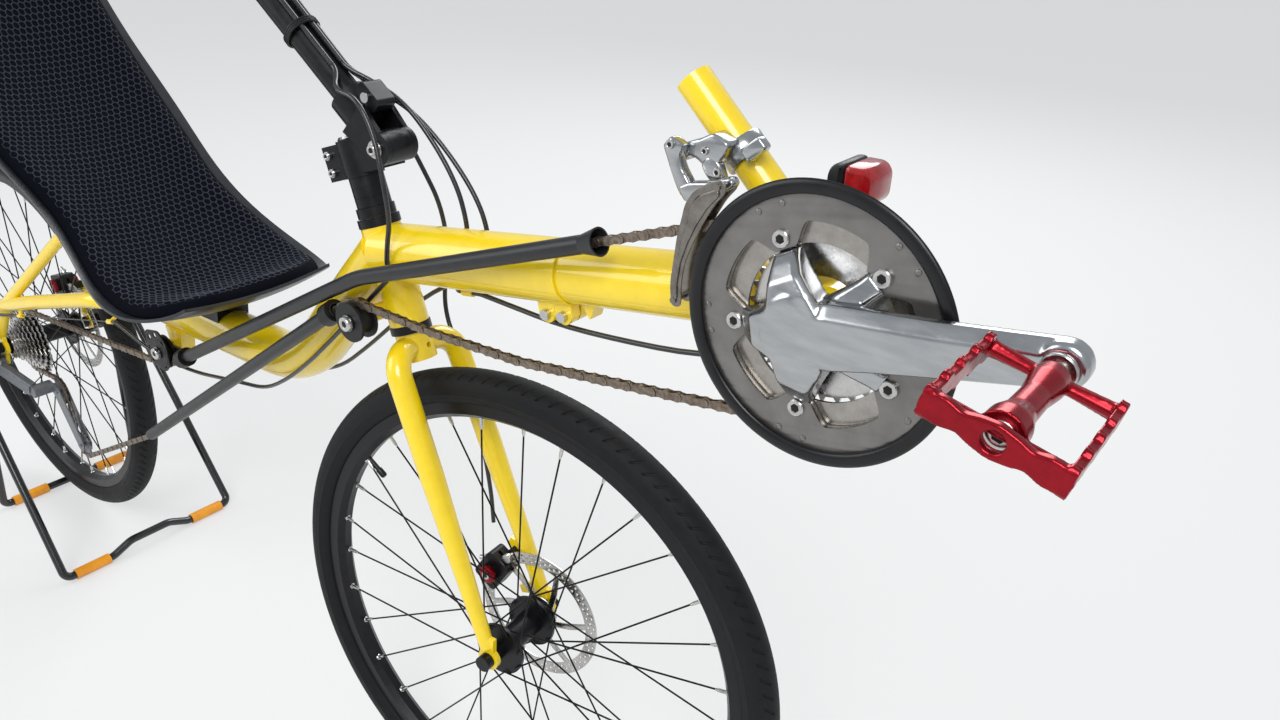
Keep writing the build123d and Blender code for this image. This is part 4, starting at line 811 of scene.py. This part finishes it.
def chain_point(distance):
    """The point of the chain line at a distance along it, and whether it is on a toothed wheel."""
    distance %= lengths[-1]
    low = min(bisect.bisect_right(lengths, distance) - 1, len(lengths) - 2)
    here, wrapped = chain_line[low]
    there, wrapped_next = chain_line[(low + 1) % len(chain_line)]
    share_on = (distance - lengths[low]) / (lengths[low + 1] - lengths[low])
    return here.lerp(there, share_on), wrapped and wrapped_next


def link_plate(start, end, side, near, far):
    """A waisted plate between two pins, from near to far along the pins in mm."""
    ahead = (end - start).normalized()
    up = side.cross(ahead)
    outline = []
    for pin, quarter, waist in ((start, 0.5, -PLATE_WAIST), (end, -0.5, PLATE_WAIST)):
        for k in range(5):
            turn = math.pi * (quarter + k / 4)
            outline.append(pin + (ahead * math.cos(turn) + up * math.sin(turn)) * PLATE_END * MM)
        outline.append(start.lerp(end, 0.5) + up * waist * MM)
    return skin([[point + side * (shift * MM) for point in outline] for shift in (near, far)])


def pin_piece(place, side, near, far, radius, steps=8):
    """A round piece on a pin's line, from near to far along it in mm."""
    return bar([place + side * (near * MM), place + side * (far * MM)], radius, steps)


links = Form()
step_length = lengths[-1] / link_count
pins = [chain_point(k * step_length) for k in range(link_count)]
for k, (start, wrapped) in enumerate(pins):
    end = pins[(k + 1) % link_count][0]
    ahead = (end - start).normalized()
    side = (LEFT - ahead * LEFT.dot(ahead)).normalized()
    near, far = WIDE if k % 2 else NARROW
    for hand in (-1, 1):
        links.add(link_plate(start, end, side, hand * near, hand * far))
        if wrapped:
            links.add(pin_piece(start, side, hand * 1.4, hand * PIN_REACH, PIN_RADIUS))
    if not wrapped:
        links.add(pin_piece(start, side, -PIN_REACH, PIN_REACH, PIN_RADIUS),
                  pin_piece(start, side, -ROLLER_REACH, ROLLER_REACH, ROLLER_RADIUS, 10))
finished("chain_links", links, "frame", "chain_steel", ["chain"])

# %% [markdown]
# ## The chainset
# The forged crank and its spider flow into each other, so they are first built as simple tapered
# blocks and then melted into one skin by a voxel remesh and softened. The upper edge of the arm
# keeps its wide bevel. Petals end at the big ring, which is bolted on with five socket bolts.

# %% Crank and spider
CRANK_TURNS = [math.radians(36 + 72 * k) for k in range(5)]
CRANK_DIR, CRANK_UP = forward_at(CRANK_ANGLE), upward_at(CRANK_ANGLE)


def on_crank(u, v, h, away=1):
    """A point by its distance along the right crank, above it and out from the middle plane."""
    return CRANK_AXLE + (CRANK_DIR * (u * away) + CRANK_UP * (v * away) + RIGHT * (h * away)) * MM


def smooth(share):
    """A share held between 0 and 1 and eased at both ends."""
    share = max(0.0, min(1.0, share))
    return share * share * (3 - 2 * share)


def size_of_turn(turn):
    """The size of an angle, measured the short way round."""
    return abs(math.atan2(math.sin(turn), math.cos(turn)))


def strip(sections, away=1):
    """A closed block through sections of (u, v, h) corners in one order."""
    return skin([[on_crank(*corner, away) for corner in section] for section in sections])


def arm_sections(stations, bevel):
    """Sections of the crank's arm: a flat face with a wide bevel above and a narrow one below."""
    return [[(u, low_v, inner), (u, low_v, outer - 2.5), (u, low_v + 2.5, outer),
             (u, high_v - bevel, outer), (u, high_v, outer - bevel * 0.8), (u, high_v, inner)]
            for u, low_v, high_v, inner, outer in stations]


def petal(turn, stations):
    """A spider's petal: stations of distance, half width, inner and outer height."""
    c, s = math.cos(turn), math.sin(turn)
    made = []
    for r, half, inner, outer in stations:
        made.append([(r * c - w * s, r * s + w * c, h)
                     for w, h in ((-half, inner), (-half, outer - 4), (-half + 3.5, outer),
                                  (half - 3.5, outer), (half, outer - 4), (half, inner))])
    return made


# distance, half width, inner and outer height
BIG_PETAL = ((0, 24, 54, 76.4), (26, 19, 53, 76), (40, 14, 50, 72), (50, 11.5, 47.5, 63.5),
             (56, 10.5, 47, 57))
THIN_PETAL = ((0, 17, 53, 66), (40, 10, 50, 62), (52, 9, 47.5, 58.5), (60, 9.5, 47, 56))
TAB = ((50, 9.5, 47, 50.2), (66, 9, 47, 50.2), (74, 5, 47, 50.2))
# distance, lower and upper edge, inner and outer height
RIGHT_ARM = ((-6, -20, 22, 60, 75.5), (20, -22, 24, 61, 77), (50, -19.5, 21.5, 62.5, 77),
             (95, -17.3, 18, 63, 77), (140, -15.6, 16, 63, 77), (168, -14.6, 15, 63, 77))
LEFT_ARM = ((-12, -17, 18.5, 63, 77), (50, -16.8, 18, 63, 77), (120, -15.6, 16, 63, 77),
            (168, -14.6, 15, 63, 77))
EYE = ((15, 0), (15, 11), (12.5, 14))
LEFT_HUB = ((18.5, 0), (18.5, 11), (15.5, 14))
BODY_LEVELS = ((1.0, 54), (1.0, 68), (0.95, 72.5), (0.84, 75.8), (0.7, 76.6))


def boss(levels, steps=72):
    """The spider's body: wide between the visible petals, narrow where the arm passes."""
    made = []
    for share_of, height in levels:
        ring = []
        for k in range(steps):
            turn = 2 * math.pi * k / steps
            reach = (25 + 10 * smooth((size_of_turn(turn) - 1.25) / 0.6)) * share_of
            ring.append((reach * math.cos(turn), reach * math.sin(turn), height))
        made.append(ring)
    return made


forged = Form().add(strip(boss(BODY_LEVELS)), strip(arm_sections(RIGHT_ARM, 9)),
                    lathe(EYE, on_crank(170, 0, 63), RIGHT, 40),
                    lathe([(21, 0), (21, 12)], on_crank(0, 0, 45.5), RIGHT, 48))
for turn in CRANK_TURNS:
    beside_arm = size_of_turn(turn) < math.radians(40)
    forged.add(strip(petal(turn, THIN_PETAL if beside_arm else BIG_PETAL)), strip(petal(turn, TAB)))
finished("crank_right_forging", melted(forged, 1.15, 9), "crank", "polished_alloy", ["crank_right"],
         sharp=60)
left_arm = Form().add(strip(arm_sections(LEFT_ARM, 7), -1),
                      lathe(LEFT_HUB, on_crank(0, 0, 63, -1), LEFT, 40),
                      lathe(EYE, on_crank(170, 0, 63, -1), LEFT, 40))
finished("crank_left_forging", melted(left_arm, 1.3, 4), "crank", "polished_alloy", ["crank_left"],
         sharp=60)

# %% [markdown]
# ## Rings, rivets and bolts
# The big ring is stamped from sheet, with wide windows that close softly round its bolt tabs, and
# a guard of black plastic keeps trousers off its teeth. Its edge is a cosine wave with flat tops,
# which is close to worn teeth at this size. Small rivets show on both sides of each ring bolt.

# %% Rings, rivets and bolts
BOLT_CIRCLE, BOLT_FACE = 65, 52.7
RIVET_CIRCLE, RIVET_FACE = 87.8, 52.6
RIVET = ((2.5, 0), (2.3, 0.7), (1.3, 1.25), (0.3, 1.4))
CAP = ((10.5, 0), (10.5, 1.2), (8.6, 2), (5.6, 2), (5.2, 0.9), (2.0, 0.9))
TEETH, RING_STEPS = 50, 500
ring_centre = (CRANK_AXLE.x / MM, CRANK_AXLE.z / MM)
guard_profile = [(98.2 + 5.4 * math.cos(t), -54.6 - 2.55 * math.sin(t))
                 for t in [2 * math.pi * k / 16 for k in range(16)]]
guard = lathe(guard_profile, CRANK_AXLE, LEFT, 128, closed=True)
finished("guard_ring", guard, "crank", "black_plastic", ["chain_guard"], GUARD_LOOK)
heads, socket_shades, rivets = Form(), Form(), Form()
for turn in CRANK_TURNS:
    at = turn + CRANK_ANGLE
    spot = CRANK_AXLE + forward_at(at) * (BOLT_CIRCLE * MM) + RIGHT * (BOLT_FACE * MM)
    socket_bolt(heads, socket_shades, spot, RIGHT, 6.6, 2.8, 0.48)
    heads.add(bar([spot, spot + LEFT * (9 * MM)], 4.9, 20))
    for aside in (-6.6, 6.6):
        place = CRANK_AXLE + forward_at(at + math.radians(aside)) * (RIVET_CIRCLE * MM)
        rivets.add(lathe(RIVET, place + RIGHT * (RIVET_FACE * MM), RIGHT, 14))
bolts_finished("ring_bolt", heads, socket_shades, "crank", ["ring_bolts"])
finished("ring_rivets", rivets, "crank", "ring_alloy")
cap = lathe(CAP, on_crank(0, 0, 76.8, -1), LEFT, 32)
finished("crank_bolt_cap", cap, "crank", "steel", look=NUT_LOOK)


def window_edge(turn, grown=0.0):
    """The inner edge of the big ring: wide windows that close softly round the bolt tabs."""
    near = min(size_of_turn(turn - bolt) for bolt in CRANK_TURNS) * 66
    return 57.5 + 17 * smooth((near - 8.5 + grown) / 14) + grown


def rounded_by(reach_at, turns):
    """An outline round a centre, by its reach at each turn."""
    return [(reach_at(turn) * math.cos(turn), reach_at(turn) * math.sin(turn)) for turn in turns]


def tooth_edge(turn):
    """The reach of the ring's worn teeth."""
    return 99.4 + 2.2 * max(-1.0, min(1.0, 1.6 * math.cos(TEETH * turn)))


def lip_edge(turn):
    """The outer edge of the wall that stands round each window."""
    return window_edge(turn, 1.8)


ring_turns = [2 * math.pi * k / RING_STEPS for k in range(RING_STEPS)]
inner_edge = rounded_by(window_edge, ring_turns[::2])
ring = side_plate(-51.5, [rounded_by(tooth_edge, ring_turns), inner_edge], 2.4, 0.3, ring_centre,
                  CRANK_ANGLE)
finished("big_ring_plate", ring, "crank", "ring_alloy", ["big_ring"])
lip = side_plate(-49.5, [rounded_by(lip_edge, ring_turns[::2]), inner_edge], 6.2, 0.5, ring_centre,
                 CRANK_ANGLE)
finished("big_ring_walls", lip, "crank", "ring_alloy", look=WALL_LOOK)

# %% [markdown]
# ## The pedals
# A cast cage of two toothed side plates, an outer plate with a round hole and a central barrel.
# It is one casting, so the plates, bars and barrel are melted together like the crank. Washers and
# the bright cone of the axle show between the crank and the cage.

# %% Pedals
PEDAL_TILT = math.radians(-12)
PEDAL_AHEAD, PEDAL_UP = forward_at(PEDAL_TILT), upward_at(PEDAL_TILT)
PEDAL_NEAR, PEDAL_FAR = 92.0, 184.0
TOOTH = ((0, 0), (1.2, 2.6), (3.0, 3.4), (4.4, 2.4), (5.8, 3.4), (7.6, 2.6), (8.8, 0))
WAVES = ((-1.0, 0.30), (-0.86, 0.78), (-0.66, 0.82), (-0.45, 0.55), (-0.28, 0.80), (0.0, 1.0),
         (0.28, 0.80), (0.45, 0.55), (0.66, 0.82), (0.86, 0.78), (1.0, 0.30))
NEAR_BAR = ((4, -3.4), (41, -5.5), (41, 5.5), (4, 3.4))
BARREL = ((10.4, 92.5), (10.8, 104), (8.6, 122), (9.0, 146), (12.6, 160), (12.8, 172))
AXLE = ((7.1, 63.6), (7.1, 84), (6.6, 84.5), (4.6, 88), (5.6, 92), (4, 93))
CONE = ((10.8, 80.2), (11.2, 81), (11.2, 84), (10.4, 84.8))
WASHER = ((11.2, 77.1), (11.6, 78), (11.2, 80))


def pedal_plate(side, centre, outline, thick, across, shift, hole=None):
    """Stand a plate in the pedal: its x runs outward or forward, its y up."""
    form = plate([outline, hole] if hole else [outline], thick, 0.7)
    outward = Vector((0, side, 0))
    along, through = (PEDAL_AHEAD, outward) if across else (outward, PEDAL_AHEAD)
    form.points = [centre + (along * p.x + PEDAL_UP * p.y + through * (shift + p.z)) * MM
                   for p in form.points]
    return form


def mirrored(upper):
    """An outline whose lower edge mirrors its upper edge."""
    return upper + [(x, -y) for x, y in reversed(upper)]


def toothed_edge(low, high, base):
    """An outline with teeth along its upper and lower edges."""
    upper = [(low, base - 2)]
    pitch = (high - low - 8.8) / 4
    for k in range(5):
        upper += [(low + k * pitch + a, base + b) for a, b in TOOTH]
    return mirrored(upper + [(high, base - 2)])


outer_plate = eased(mirrored([(x * 41.5, y * 10.4) for x, y in WAVES]), 3)
side_outline = toothed_edge(PEDAL_NEAR + 1, PEDAL_FAR - 1, 6.2)
for name, side in (("right", -1), ("left", 1)):
    centre = CRANK_AXLE + CRANK_DIR * (-170 * side * MM)
    axis = Vector((0, side, 0))
    cage = pedal_plate(side, centre, outer_plate, 6, True, PEDAL_FAR - 4, ring_of(0, 0, 6.4, 28))
    for end in (-1, 1):
        cage.add(pedal_plate(side, centre, side_outline, 5.2, False, end * 38.4))
        for reach in (96, 171):
            foot = centre + Vector((0, side * reach * MM, 0))
            cage.add(bar([foot, foot + PEDAL_AHEAD * (end * 38 * MM)], 3.6, 14))
        near_bar = eased([(end * x, z) for x, z in NEAR_BAR], 1.5)
        cage.add(pedal_plate(side, centre, near_bar, 5, True, PEDAL_NEAR + 2.6))
    cage.add(lathe(BARREL, centre, axis, 36))
    finished("pedal_cage_" + name, melted(cage, 0.95, 3), "pedal_" + name, "red_alloy",
             ["pedal_" + name], sharp=60)
    end_cap, hole = Form(), Form()
    socket_bolt(end_cap, hole, centre + axis * (171.6 * MM), axis, 8.2, 2.4)
    finished("pedal_cap_" + name, end_cap, "pedal_" + name, "steel")
    finished("pedal_cap_socket_" + name, hole, "pedal_" + name, "steel", look=SOCKET_SHADE)
    axle = lathe(AXLE, centre, axis, 32).add(lathe(CONE, centre, axis, 36))
    finished("pedal_cone_" + name, axle, "crank", "steel", ["pedal_axle_" + name])
    washer = lathe(WASHER, centre, axis, 36)
    finished("pedal_washer_" + name, washer, "crank", "red_alloy", look=DARK_RED)

# %% [markdown]
# ## The seat pad
# The pad is foam under spacer mesh, a thick net of long hexagons. Its form is a crowned, rounded
# slab on the shell, found by casting rays down to the shell's own surface. The net is real
# relief: each hexagon has a raised rim of thread and a sunken cell, and neighbours share
# their rims, so that the net stretches round the rolled edge as cloth does. Down in each cell the
# pad's skin is near-black, which is painted shade.

# %% Seat surface
# edge x, edge z, half width, dish depth in mm
SEAT = ((-428, 622, 100, 8), (-497, 600, 134, 16), (-580, 616, 138, 24), (-683, 672, 124, 30),
        (-778, 730, 132, 30), (-900, 815, 140, 28), (-1010, 925, 138, 24), (-1064, 988, 124, 19),
        (-1110, 1050, 105, 14))
PAD_INSET, PAD_CORNER, PAD_ROLL, PAD_THICK = 12.0, 58.0, 15.0, 16.8
shell_mesh = nodes["seat_shell"].data
shell_tree = BVHTree.FromPolygons([vertex.co.copy() for vertex in shell_mesh.vertices],
                                  [list(polygon.vertices) for polygon in shell_mesh.polygons])
seat_marks = [0.0]
for here, there in zip(SEAT, SEAT[1:]):
    seat_marks.append(seat_marks[-1] + math.hypot(there[0] - here[0], there[1] - here[1]))
PAD_START, PAD_END = 9.0, seat_marks[-1] - 9.0


def seat_at(u):
    """Edge place, half width and dish of the seat at a distance along it, on a smooth curve."""
    k = max(j for j in range(len(SEAT) - 1) if seat_marks[j] <= max(u, 0.0))
    t = (u - seat_marks[k]) / (seat_marks[k + 1] - seat_marks[k])
    a, b, c, d = [SEAT[min(max(j, 0), len(SEAT) - 1)] for j in (k - 1, k, k + 1, k + 2)]
    return [0.5 * (2 * q + (r - p) * t + (2 * p - 5 * q + 4 * r - s) * t ** 2
                   + (3 * q - p - 3 * r + s) * t ** 3)
            for p, q, r, s in zip(a, b, c, d)]


def pad_depth(u, v):
    """How far a point is inside the pad's rounded outline, in mm."""
    half = seat_at(u)[2] - PAD_INSET
    over_u = abs(u - (PAD_START + PAD_END) / 2) - ((PAD_END - PAD_START) / 2 - PAD_CORNER)
    over_v = abs(v) - (half - PAD_CORNER)
    outside = math.hypot(max(over_u, 0), max(over_v, 0)) + min(max(over_u, over_v), 0)
    return PAD_CORNER - outside


def pad_point(u, v, lift=0.0):
    """A point of the pad's top, by distance along and across the seat in mm."""
    x, z, half, dish = seat_at(u)
    x2, z2 = seat_at(u + 2)[:2]
    run = Vector((x2 - x, 0, z2 - z)).normalized()
    normal = Vector((run.z, 0, -run.x))
    bow = (half ** 2 + dish ** 2) / (2 * dish)
    rise = bow - math.sqrt(bow ** 2 - min(abs(v), half) ** 2)
    base = (Vector((x, v, z)) + normal * (rise - dish)) * MM
    lean = normal - Vector((0, v / bow, 0)) * 0.8
    lean.normalize()
    hit = shell_tree.ray_cast(base + lean * 0.04, -lean, 0.08)[0]
    depth = pad_depth(u, v)
    share_in = max(0.0, min(1.0, depth / PAD_ROLL))
    height = PAD_THICK * math.sqrt(max(0.0, 1 - (1 - share_in) ** 2))
    crown = 2.6 * share_in * max(0.0, 1 - (v / half) ** 2)
    gathers = 0.9 * math.sin((u * 0.8 - abs(v) * 0.6) / 6.5) * math.exp(-((u - 40) / 60) ** 2) * share_in
    return (hit or base) + lean * ((1.3 + height + crown + gathers + lift) * MM)


print("pad runs", round(PAD_END - PAD_START), "mm along the seat")

# %% [markdown]
# ## The pad's body
# Rows of points are closer together near both ends, where the pad rolls down to the shell. The
# shell of the seat stays as it is, and the pad is a thin skin of cloth over the foam's form.

# %% Seat pad body
ALONG, ACROSS = 110, 44
pad_rows = []
for j in range(ALONG + 1):
    u = PAD_START + (PAD_END - PAD_START) * 0.5 * (1 - math.cos(math.pi * j / ALONG))
    from_end = min(u - PAD_START, PAD_END - u)
    narrowed = 0.0
    if from_end < PAD_CORNER:
        narrowed = PAD_CORNER - math.sqrt(max(0.0, PAD_CORNER ** 2 - (PAD_CORNER - from_end) ** 2))
    reach = seat_at(u)[2] - PAD_INSET - narrowed
    pad_rows.append([pad_point(u, reach * math.sin(math.pi * (k / ACROSS - 0.5)), -1.0)
                     for k in range(ACROSS + 1)])
pad = skin(pad_rows, around=False, capped=False)
# The pad's skin under the net is near-black painted shade, seen through the net's open cells.
pad_piece = finished("seat_pad_foam", pad, "frame", "seat_fabric", ["seat_pad"], CELL_SHADE, sharp=80)
thicken = pad_piece.modifiers.new("thicken", "SOLIDIFY")
thicken.thickness = 1.2 * MM
thicken.offset = -1.0

# %% [markdown]
# ## The net
# Spacer mesh is knitted as a net of hexagons over threads that stand between two cloths. The flat
# net is laid out first and pulled round the pad's edge, as the cloth is on the real seat.

# %% Seat net
CELL_WIDE, CELL_LONG = 8.6, 12.6
ROLL_LENGTH = 25.0
RIM_LIFTS = ((1.0, 0.95), (0.90, 0.80), (0.76, -0.35))
CORNERS = ((0, 0.5), (0.5, 0.25), (0.5, -0.25), (0, -0.5), (-0.5, -0.25), (-0.5, 0.25))
net_points, net_index, thread_faces = [], {}, []


def wrapped_round(u, v):
    """Where a point of the flat net comes to lie once the net is pulled round the pad's edge."""
    spread = ROLL_LENGTH - PAD_ROLL
    flat = pad_depth(u, v) + spread
    if flat >= ROLL_LENGTH:
        return u, v
    depth = PAD_ROLL * (1 - math.cos(math.pi / 2 * max(flat, 0.0) / ROLL_LENGTH))
    slope_u = (pad_depth(u + 0.5, v) - pad_depth(u - 0.5, v))
    slope_v = (pad_depth(u, v + 0.5) - pad_depth(u, v - 0.5))
    move = depth - (flat - spread)
    return u + slope_u * move, v + slope_v * move


def net_vertex(u, v, lift):
    """The number of a net point, shared between the cells that meet there."""
    key = (round(u, 2), round(v, 2), round(lift, 2))
    if key not in net_index:
        net_index[key] = len(net_points)
        net_points.append(pad_point(*wrapped_round(u, v), lift))
    return net_index[key]


row_step = CELL_LONG * 0.75
cells = 0
row_step = CELL_LONG * 0.75
row_count = int((PAD_END - PAD_START + 20) / row_step) + 2
for j in range(row_count):
    u = PAD_START - 10 + j * row_step
    for k in range(-18, 19):
        v = (k + (0.5 if j % 2 else 0.0)) * CELL_WIDE
        if min(pad_depth(u + b * CELL_LONG, v + a * CELL_WIDE) for a, b in CORNERS) < -9.6:
            continue
        rims = [[net_vertex(u + b * CELL_LONG * scale, v + a * CELL_WIDE * scale, lift)
                 for a, b in CORNERS] for scale, lift in RIM_LIFTS]
        for outer, inner in zip(rims, rims[1:]):
            for n in range(6):
                thread_faces.append([outer[n], outer[(n + 1) % 6], inner[(n + 1) % 6], inner[n]])
        cells += 1
net = Form(net_points, thread_faces)
finished("seat_net_threads", net, "frame", "seat_fabric", look=THREAD, sharp=80)
print("net cells", cells)

# %% [markdown]
# ## The front derailleur
# It is clamped to the post by a bright band. Two links carry the cage, whose outer plate follows
# the guard ring. The outlines were read from the photograph and stand at the real depth of each
# plate, so that they are right from the side and from in front.

# %% Front derailleur
POST_DIR = forward_at(math.radians(137.5))
BAND_FOOT = CRANK_AXLE + POST_DIR * (128 * MM)
BAND = ((14.5, 0), (17.2, 0), (18.0, 1.2), (18.0, 14.8), (17.2, 16), (14.5, 16))
# outline as (x, z), y of its middle, thickness
MECH_PLATES = (
    (((206, 935), (199, 927), (203, 919), (208, 908), (214, 897), (219, 891), (228, 899), (223, 906),
      (218, 912), (214, 920), (217, 930)), -36, 10),
    (((203, 917), (209, 928), (224, 934), (236, 941), (250, 935), (247, 925), (240, 917), (231, 914),
      (224, 919), (216, 921), (212, 914)), -23, 17),
    (((227, 917), (233, 924), (243, 921), (249, 909), (240, 903), (232, 909)), -28, 8),
    (((217, 900), (228, 906), (246, 910), (262, 917), (266, 911), (254, 902), (236, 893), (224, 890)),
     -40, 10),
)
MECH_ARM = ((254, 931), (268, 943), (276, 936), (262, 922))
CAGE = ((231, 893), (238, 904), (249, 912), (261, 917), (266, 910), (257, 899), (249, 884), (240, 865),
        (234, 848), (232, 831), (233, 812), (224, 811), (222, 829), (224, 849), (226, 869), (229, 882))
CAGE_RIB = ((236, 893), (245, 903), (258, 910), (261, 906), (251, 894), (243, 880), (236, 864), (231, 848),
            (229, 831), (230, 818), (227, 818), (226, 831), (228, 849), (231, 868), (236, 884))
SLOT = ((239, 897), (243, 902), (246, 900), (242, 894))
# x, z, y, radius
MECH_SCREWS = ((207, 929, -41, 3.6), (221, 898, -41, 3.2), (243, 914, -32, 3.4), (231, 927, -31.5, 3.0))
mech = lathe(BAND, BAND_FOOT, POST_DIR, 64, closed=True)
for outline, y, thick in MECH_PLATES:
    mech.add(side_plate(y, [eased(outline, 3.5)], thick, 2.0))
mech.add(side_plate(-19, [eased(MECH_ARM, 3)], 9, 1.5))
finished("front_mech_body", mech, "frame", "polished_alloy", ["front_derailleur"], sharp=45)
cage = side_plate(-52.8, [eased(CAGE, 5), eased(SLOT, 1.2)], 1.6, 0.4)
cage.add(side_plate(-54.2, [eased(CAGE_RIB, 3)], 2.2, 0.8), side_plate(-38.8, [eased(CAGE, 5)], 1.5, 0.4))
for x, z in ((226.5, 816.5), (258, 911)):
    cage.add(bar([mm(x, -38, z), mm(x, -55.4, z)], 2.6, 14))
finished("front_mech_cage", cage, "frame", "polished_alloy", look=CAGE_LOOK, sharp=45)
screws, holes = Form(), Form()
for x, z, y, radius in MECH_SCREWS:
    socket_bolt(screws, holes, mm(x, y, z), RIGHT, radius, 2.2)
finished("front_mech_screws", screws, "frame", "steel")
finished("front_mech_sockets", holes, "frame", "steel", look=SOCKET_SHADE)

# %% [markdown]
# ## Calipers, stem bolts and small fittings
# Each caliper has a red ribbed knob that adjusts its pad, with a bright socket in its middle, and a
# bright barrel where the housing comes in. The knob is a profile whose radius ripples round it.

# %% Calipers
# name, axle, rotor y, angle in degrees, body
CALIPERS = (("front", FRONT_AXLE, 38.6, 148.0, "steering"), ("rear", REAR_AXLE, 51.3, 105.0, "frame"))
BARREL_END = ((3.2, 8), (3.2, 17), (2.4, 18))
MOUNT_BOLT = ((5.6, 0), (5.6, 4.5), (4.8, 5.2))


def ribbed(start, axis, radius, length, ribs):
    """A short knob with rounded ribs."""
    profile = [(radius * share, length * height)
               for height, share in ((0, 0.9), (0.1, 1.0), (0.85, 1.0), (1.0, 0.86))]
    return lathe(profile, start, axis, ribs * 4, ribs=ribs)


for name, axle, rotor_y, angle, body in CALIPERS:
    reach, beside = forward_at(math.radians(angle)), upward_at(math.radians(angle))
    centre = axle + reach * (74 * MM) + mm(0, rotor_y, 0)
    knobs, plugs, holes = Form(), Form(), Form()
    for outward, knob_y, plug_y in ((RIGHT, -14.2, -19.6), (LEFT, 16.2, 21.6)):
        knobs.add(ribbed(centre + mm(0, knob_y, 0), outward, 11.0, 5.5, 14))
        socket_bolt(plugs, holes, centre + mm(0, plug_y, 0), outward, 5.2, 1.8)
    finished(name + "_pad_knobs", knobs, body, "red_alloy")
    finished(name + "_knob_plugs", plugs, body, "steel")
    finished(name + "_knob_sockets", holes, body, "steel", look=SOCKET_SHADE)
    barrel_at = centre + reach * (14 * MM) + beside * (10 * MM) + mm(0, 12, 0)
    barrel_axis = reach * 0.6 + beside * 0.8
    fitting = ribbed(barrel_at, barrel_axis, 4.6, 9, 10).add(lathe(BARREL_END, barrel_at, barrel_axis, 16))
    for across in (-29, 29):
        spot = centre - reach * (4 * MM) + beside * (across * MM) + mm(0, -6.2, 0)
        fitting.add(lathe(MOUNT_BOLT, spot, LEFT, 20))
    finished(name + "_caliper_fittings", fitting, body, "steel")

# %% [markdown]
# ## Bolts of the stem, and clips of the riser
# The stem is clamped by two small bolts behind and hinged on one thick bolt. A cap closes the
# steerer. Moulded clips hold the housings on the riser: each is a band that bulges over them.

# %% Stem and riser
STEM_BASE = 106 + 9 + 1 + 42
STEM_CAP = ((17.2, 0), (17.6, 1.2), (16, 3.4), (6, 4), (5.4, 2.8))
CLIP_RADIUS, CLIP_BULGE, CLIP_LEAN = 16.2, 4.6, 0.17
heads, socket_shades = Form(), Form()
for side in (-1, 1):
    pivot = on_head(STEM_BASE + 22, 46, side * 25.8)
    socket_bolt(heads, socket_shades, pivot, Vector((0, side, 0)), 5.6, 2.2)
for height in (9.0, 27.0):
    socket_bolt(heads, socket_shades, on_head(STEM_BASE + height, -32, -14.4), RIGHT, 3.8, 1.8)
bolts_finished("stem_bolt", heads, socket_shades, "steering")
top_cap = lathe(STEM_CAP, on_head(STEM_BASE + 38.1), HEAD_UP, 40)
finished("steerer_cap", top_cap, "steering", "polished_alloy")
clips = Form()
for reach in (120, 230):
    for shift in (-2.4, 0, 2.4):
        line = []
        for k in range(33):
            turn = 360 * k / 32
            bulge = max(0.0, math.cos(math.radians(turn) - CLIP_LEAN)) ** 0.5
            line.append(on_riser(reach + shift, turn, CLIP_RADIUS + CLIP_BULGE * bulge))
        clips.add(bar(line, 1.5, 8))
finished("riser_clips", clips, "steering", "black_plastic")

# %% [markdown]
# ## The idlers
# The chain's guide wheels turn on bright bolts between two black discs. The rear one hangs in a
# pressed bracket with lightening holes.

# %% Idlers
IDLER_DISC = ((8.6, 0), (8.6, 1.4))
BRACKET = ((-640, 512), (-606, 520), (-590, 505), (-588, 474), (-602, 460), (-634, 462), (-642, 480))
BRACKET_HOLES = ((-631, 504), (-616, 511), (-600, 503), (-597, 486), (-600, 471), (-631, 471), (-634, 487))
idler_bolts, idler_holes = Form(), Form()
for x, z, face_y in ((-172, 673, -61.2), (-613, 486, -54.6)):
    idler_bolts.add(lathe(IDLER_DISC, mm(x, face_y, z), RIGHT, 32))
    socket_bolt(idler_bolts, idler_holes, mm(x, face_y - 1, z), RIGHT, 8.3, 4.4, 0.42)
bolts_finished("idler_bolt", idler_bolts, idler_holes, "frame")
bracket_outlines = [eased(BRACKET, 6), ring_of(-613, 486, 7, 24)]
bracket_outlines += [ring_of(x, z, 3.6, 18) for x, z in BRACKET_HOLES]
finished("idler_bracket", side_plate(-52.4, bracket_outlines, 1.8, 0.3), "frame", "black_plastic")

# %% [markdown]
# ## The lamp
# A small battery lamp with a red lens in a black housing that wraps its back. The lens is one
# thick block with well rounded edges, as it is moulded, and a small foot carries it.

# %% Lamp
LAMP_MIDDLE = (338, 920)
LENS = ((-5, -15), (11, -14), (16.5, -8), (16.5, 9), (11, 15.5), (-5, 15))
HOUSING = ((-17, -9), (-12, -15), (-3.5, -15.5), (-3.5, 16), (-12, 15), (-17, 9))
LAMP_FOOT = ((-6, -16.5), (9, -16.5), (6, -12), (-6, -12))
finished("lamp_lens", side_plate(0, [eased(LENS, 4)], 36, 4, LAMP_MIDDLE), "frame", "red_lens", ["lamp"])
housing = side_plate(0, [eased(HOUSING, 4)], 38, 4, LAMP_MIDDLE)
housing.add(side_plate(0, [eased(LAMP_FOOT, 1.5)], 30, 1.5, LAMP_MIDDLE))
finished("lamp_housing", housing, "frame", "black_plastic")
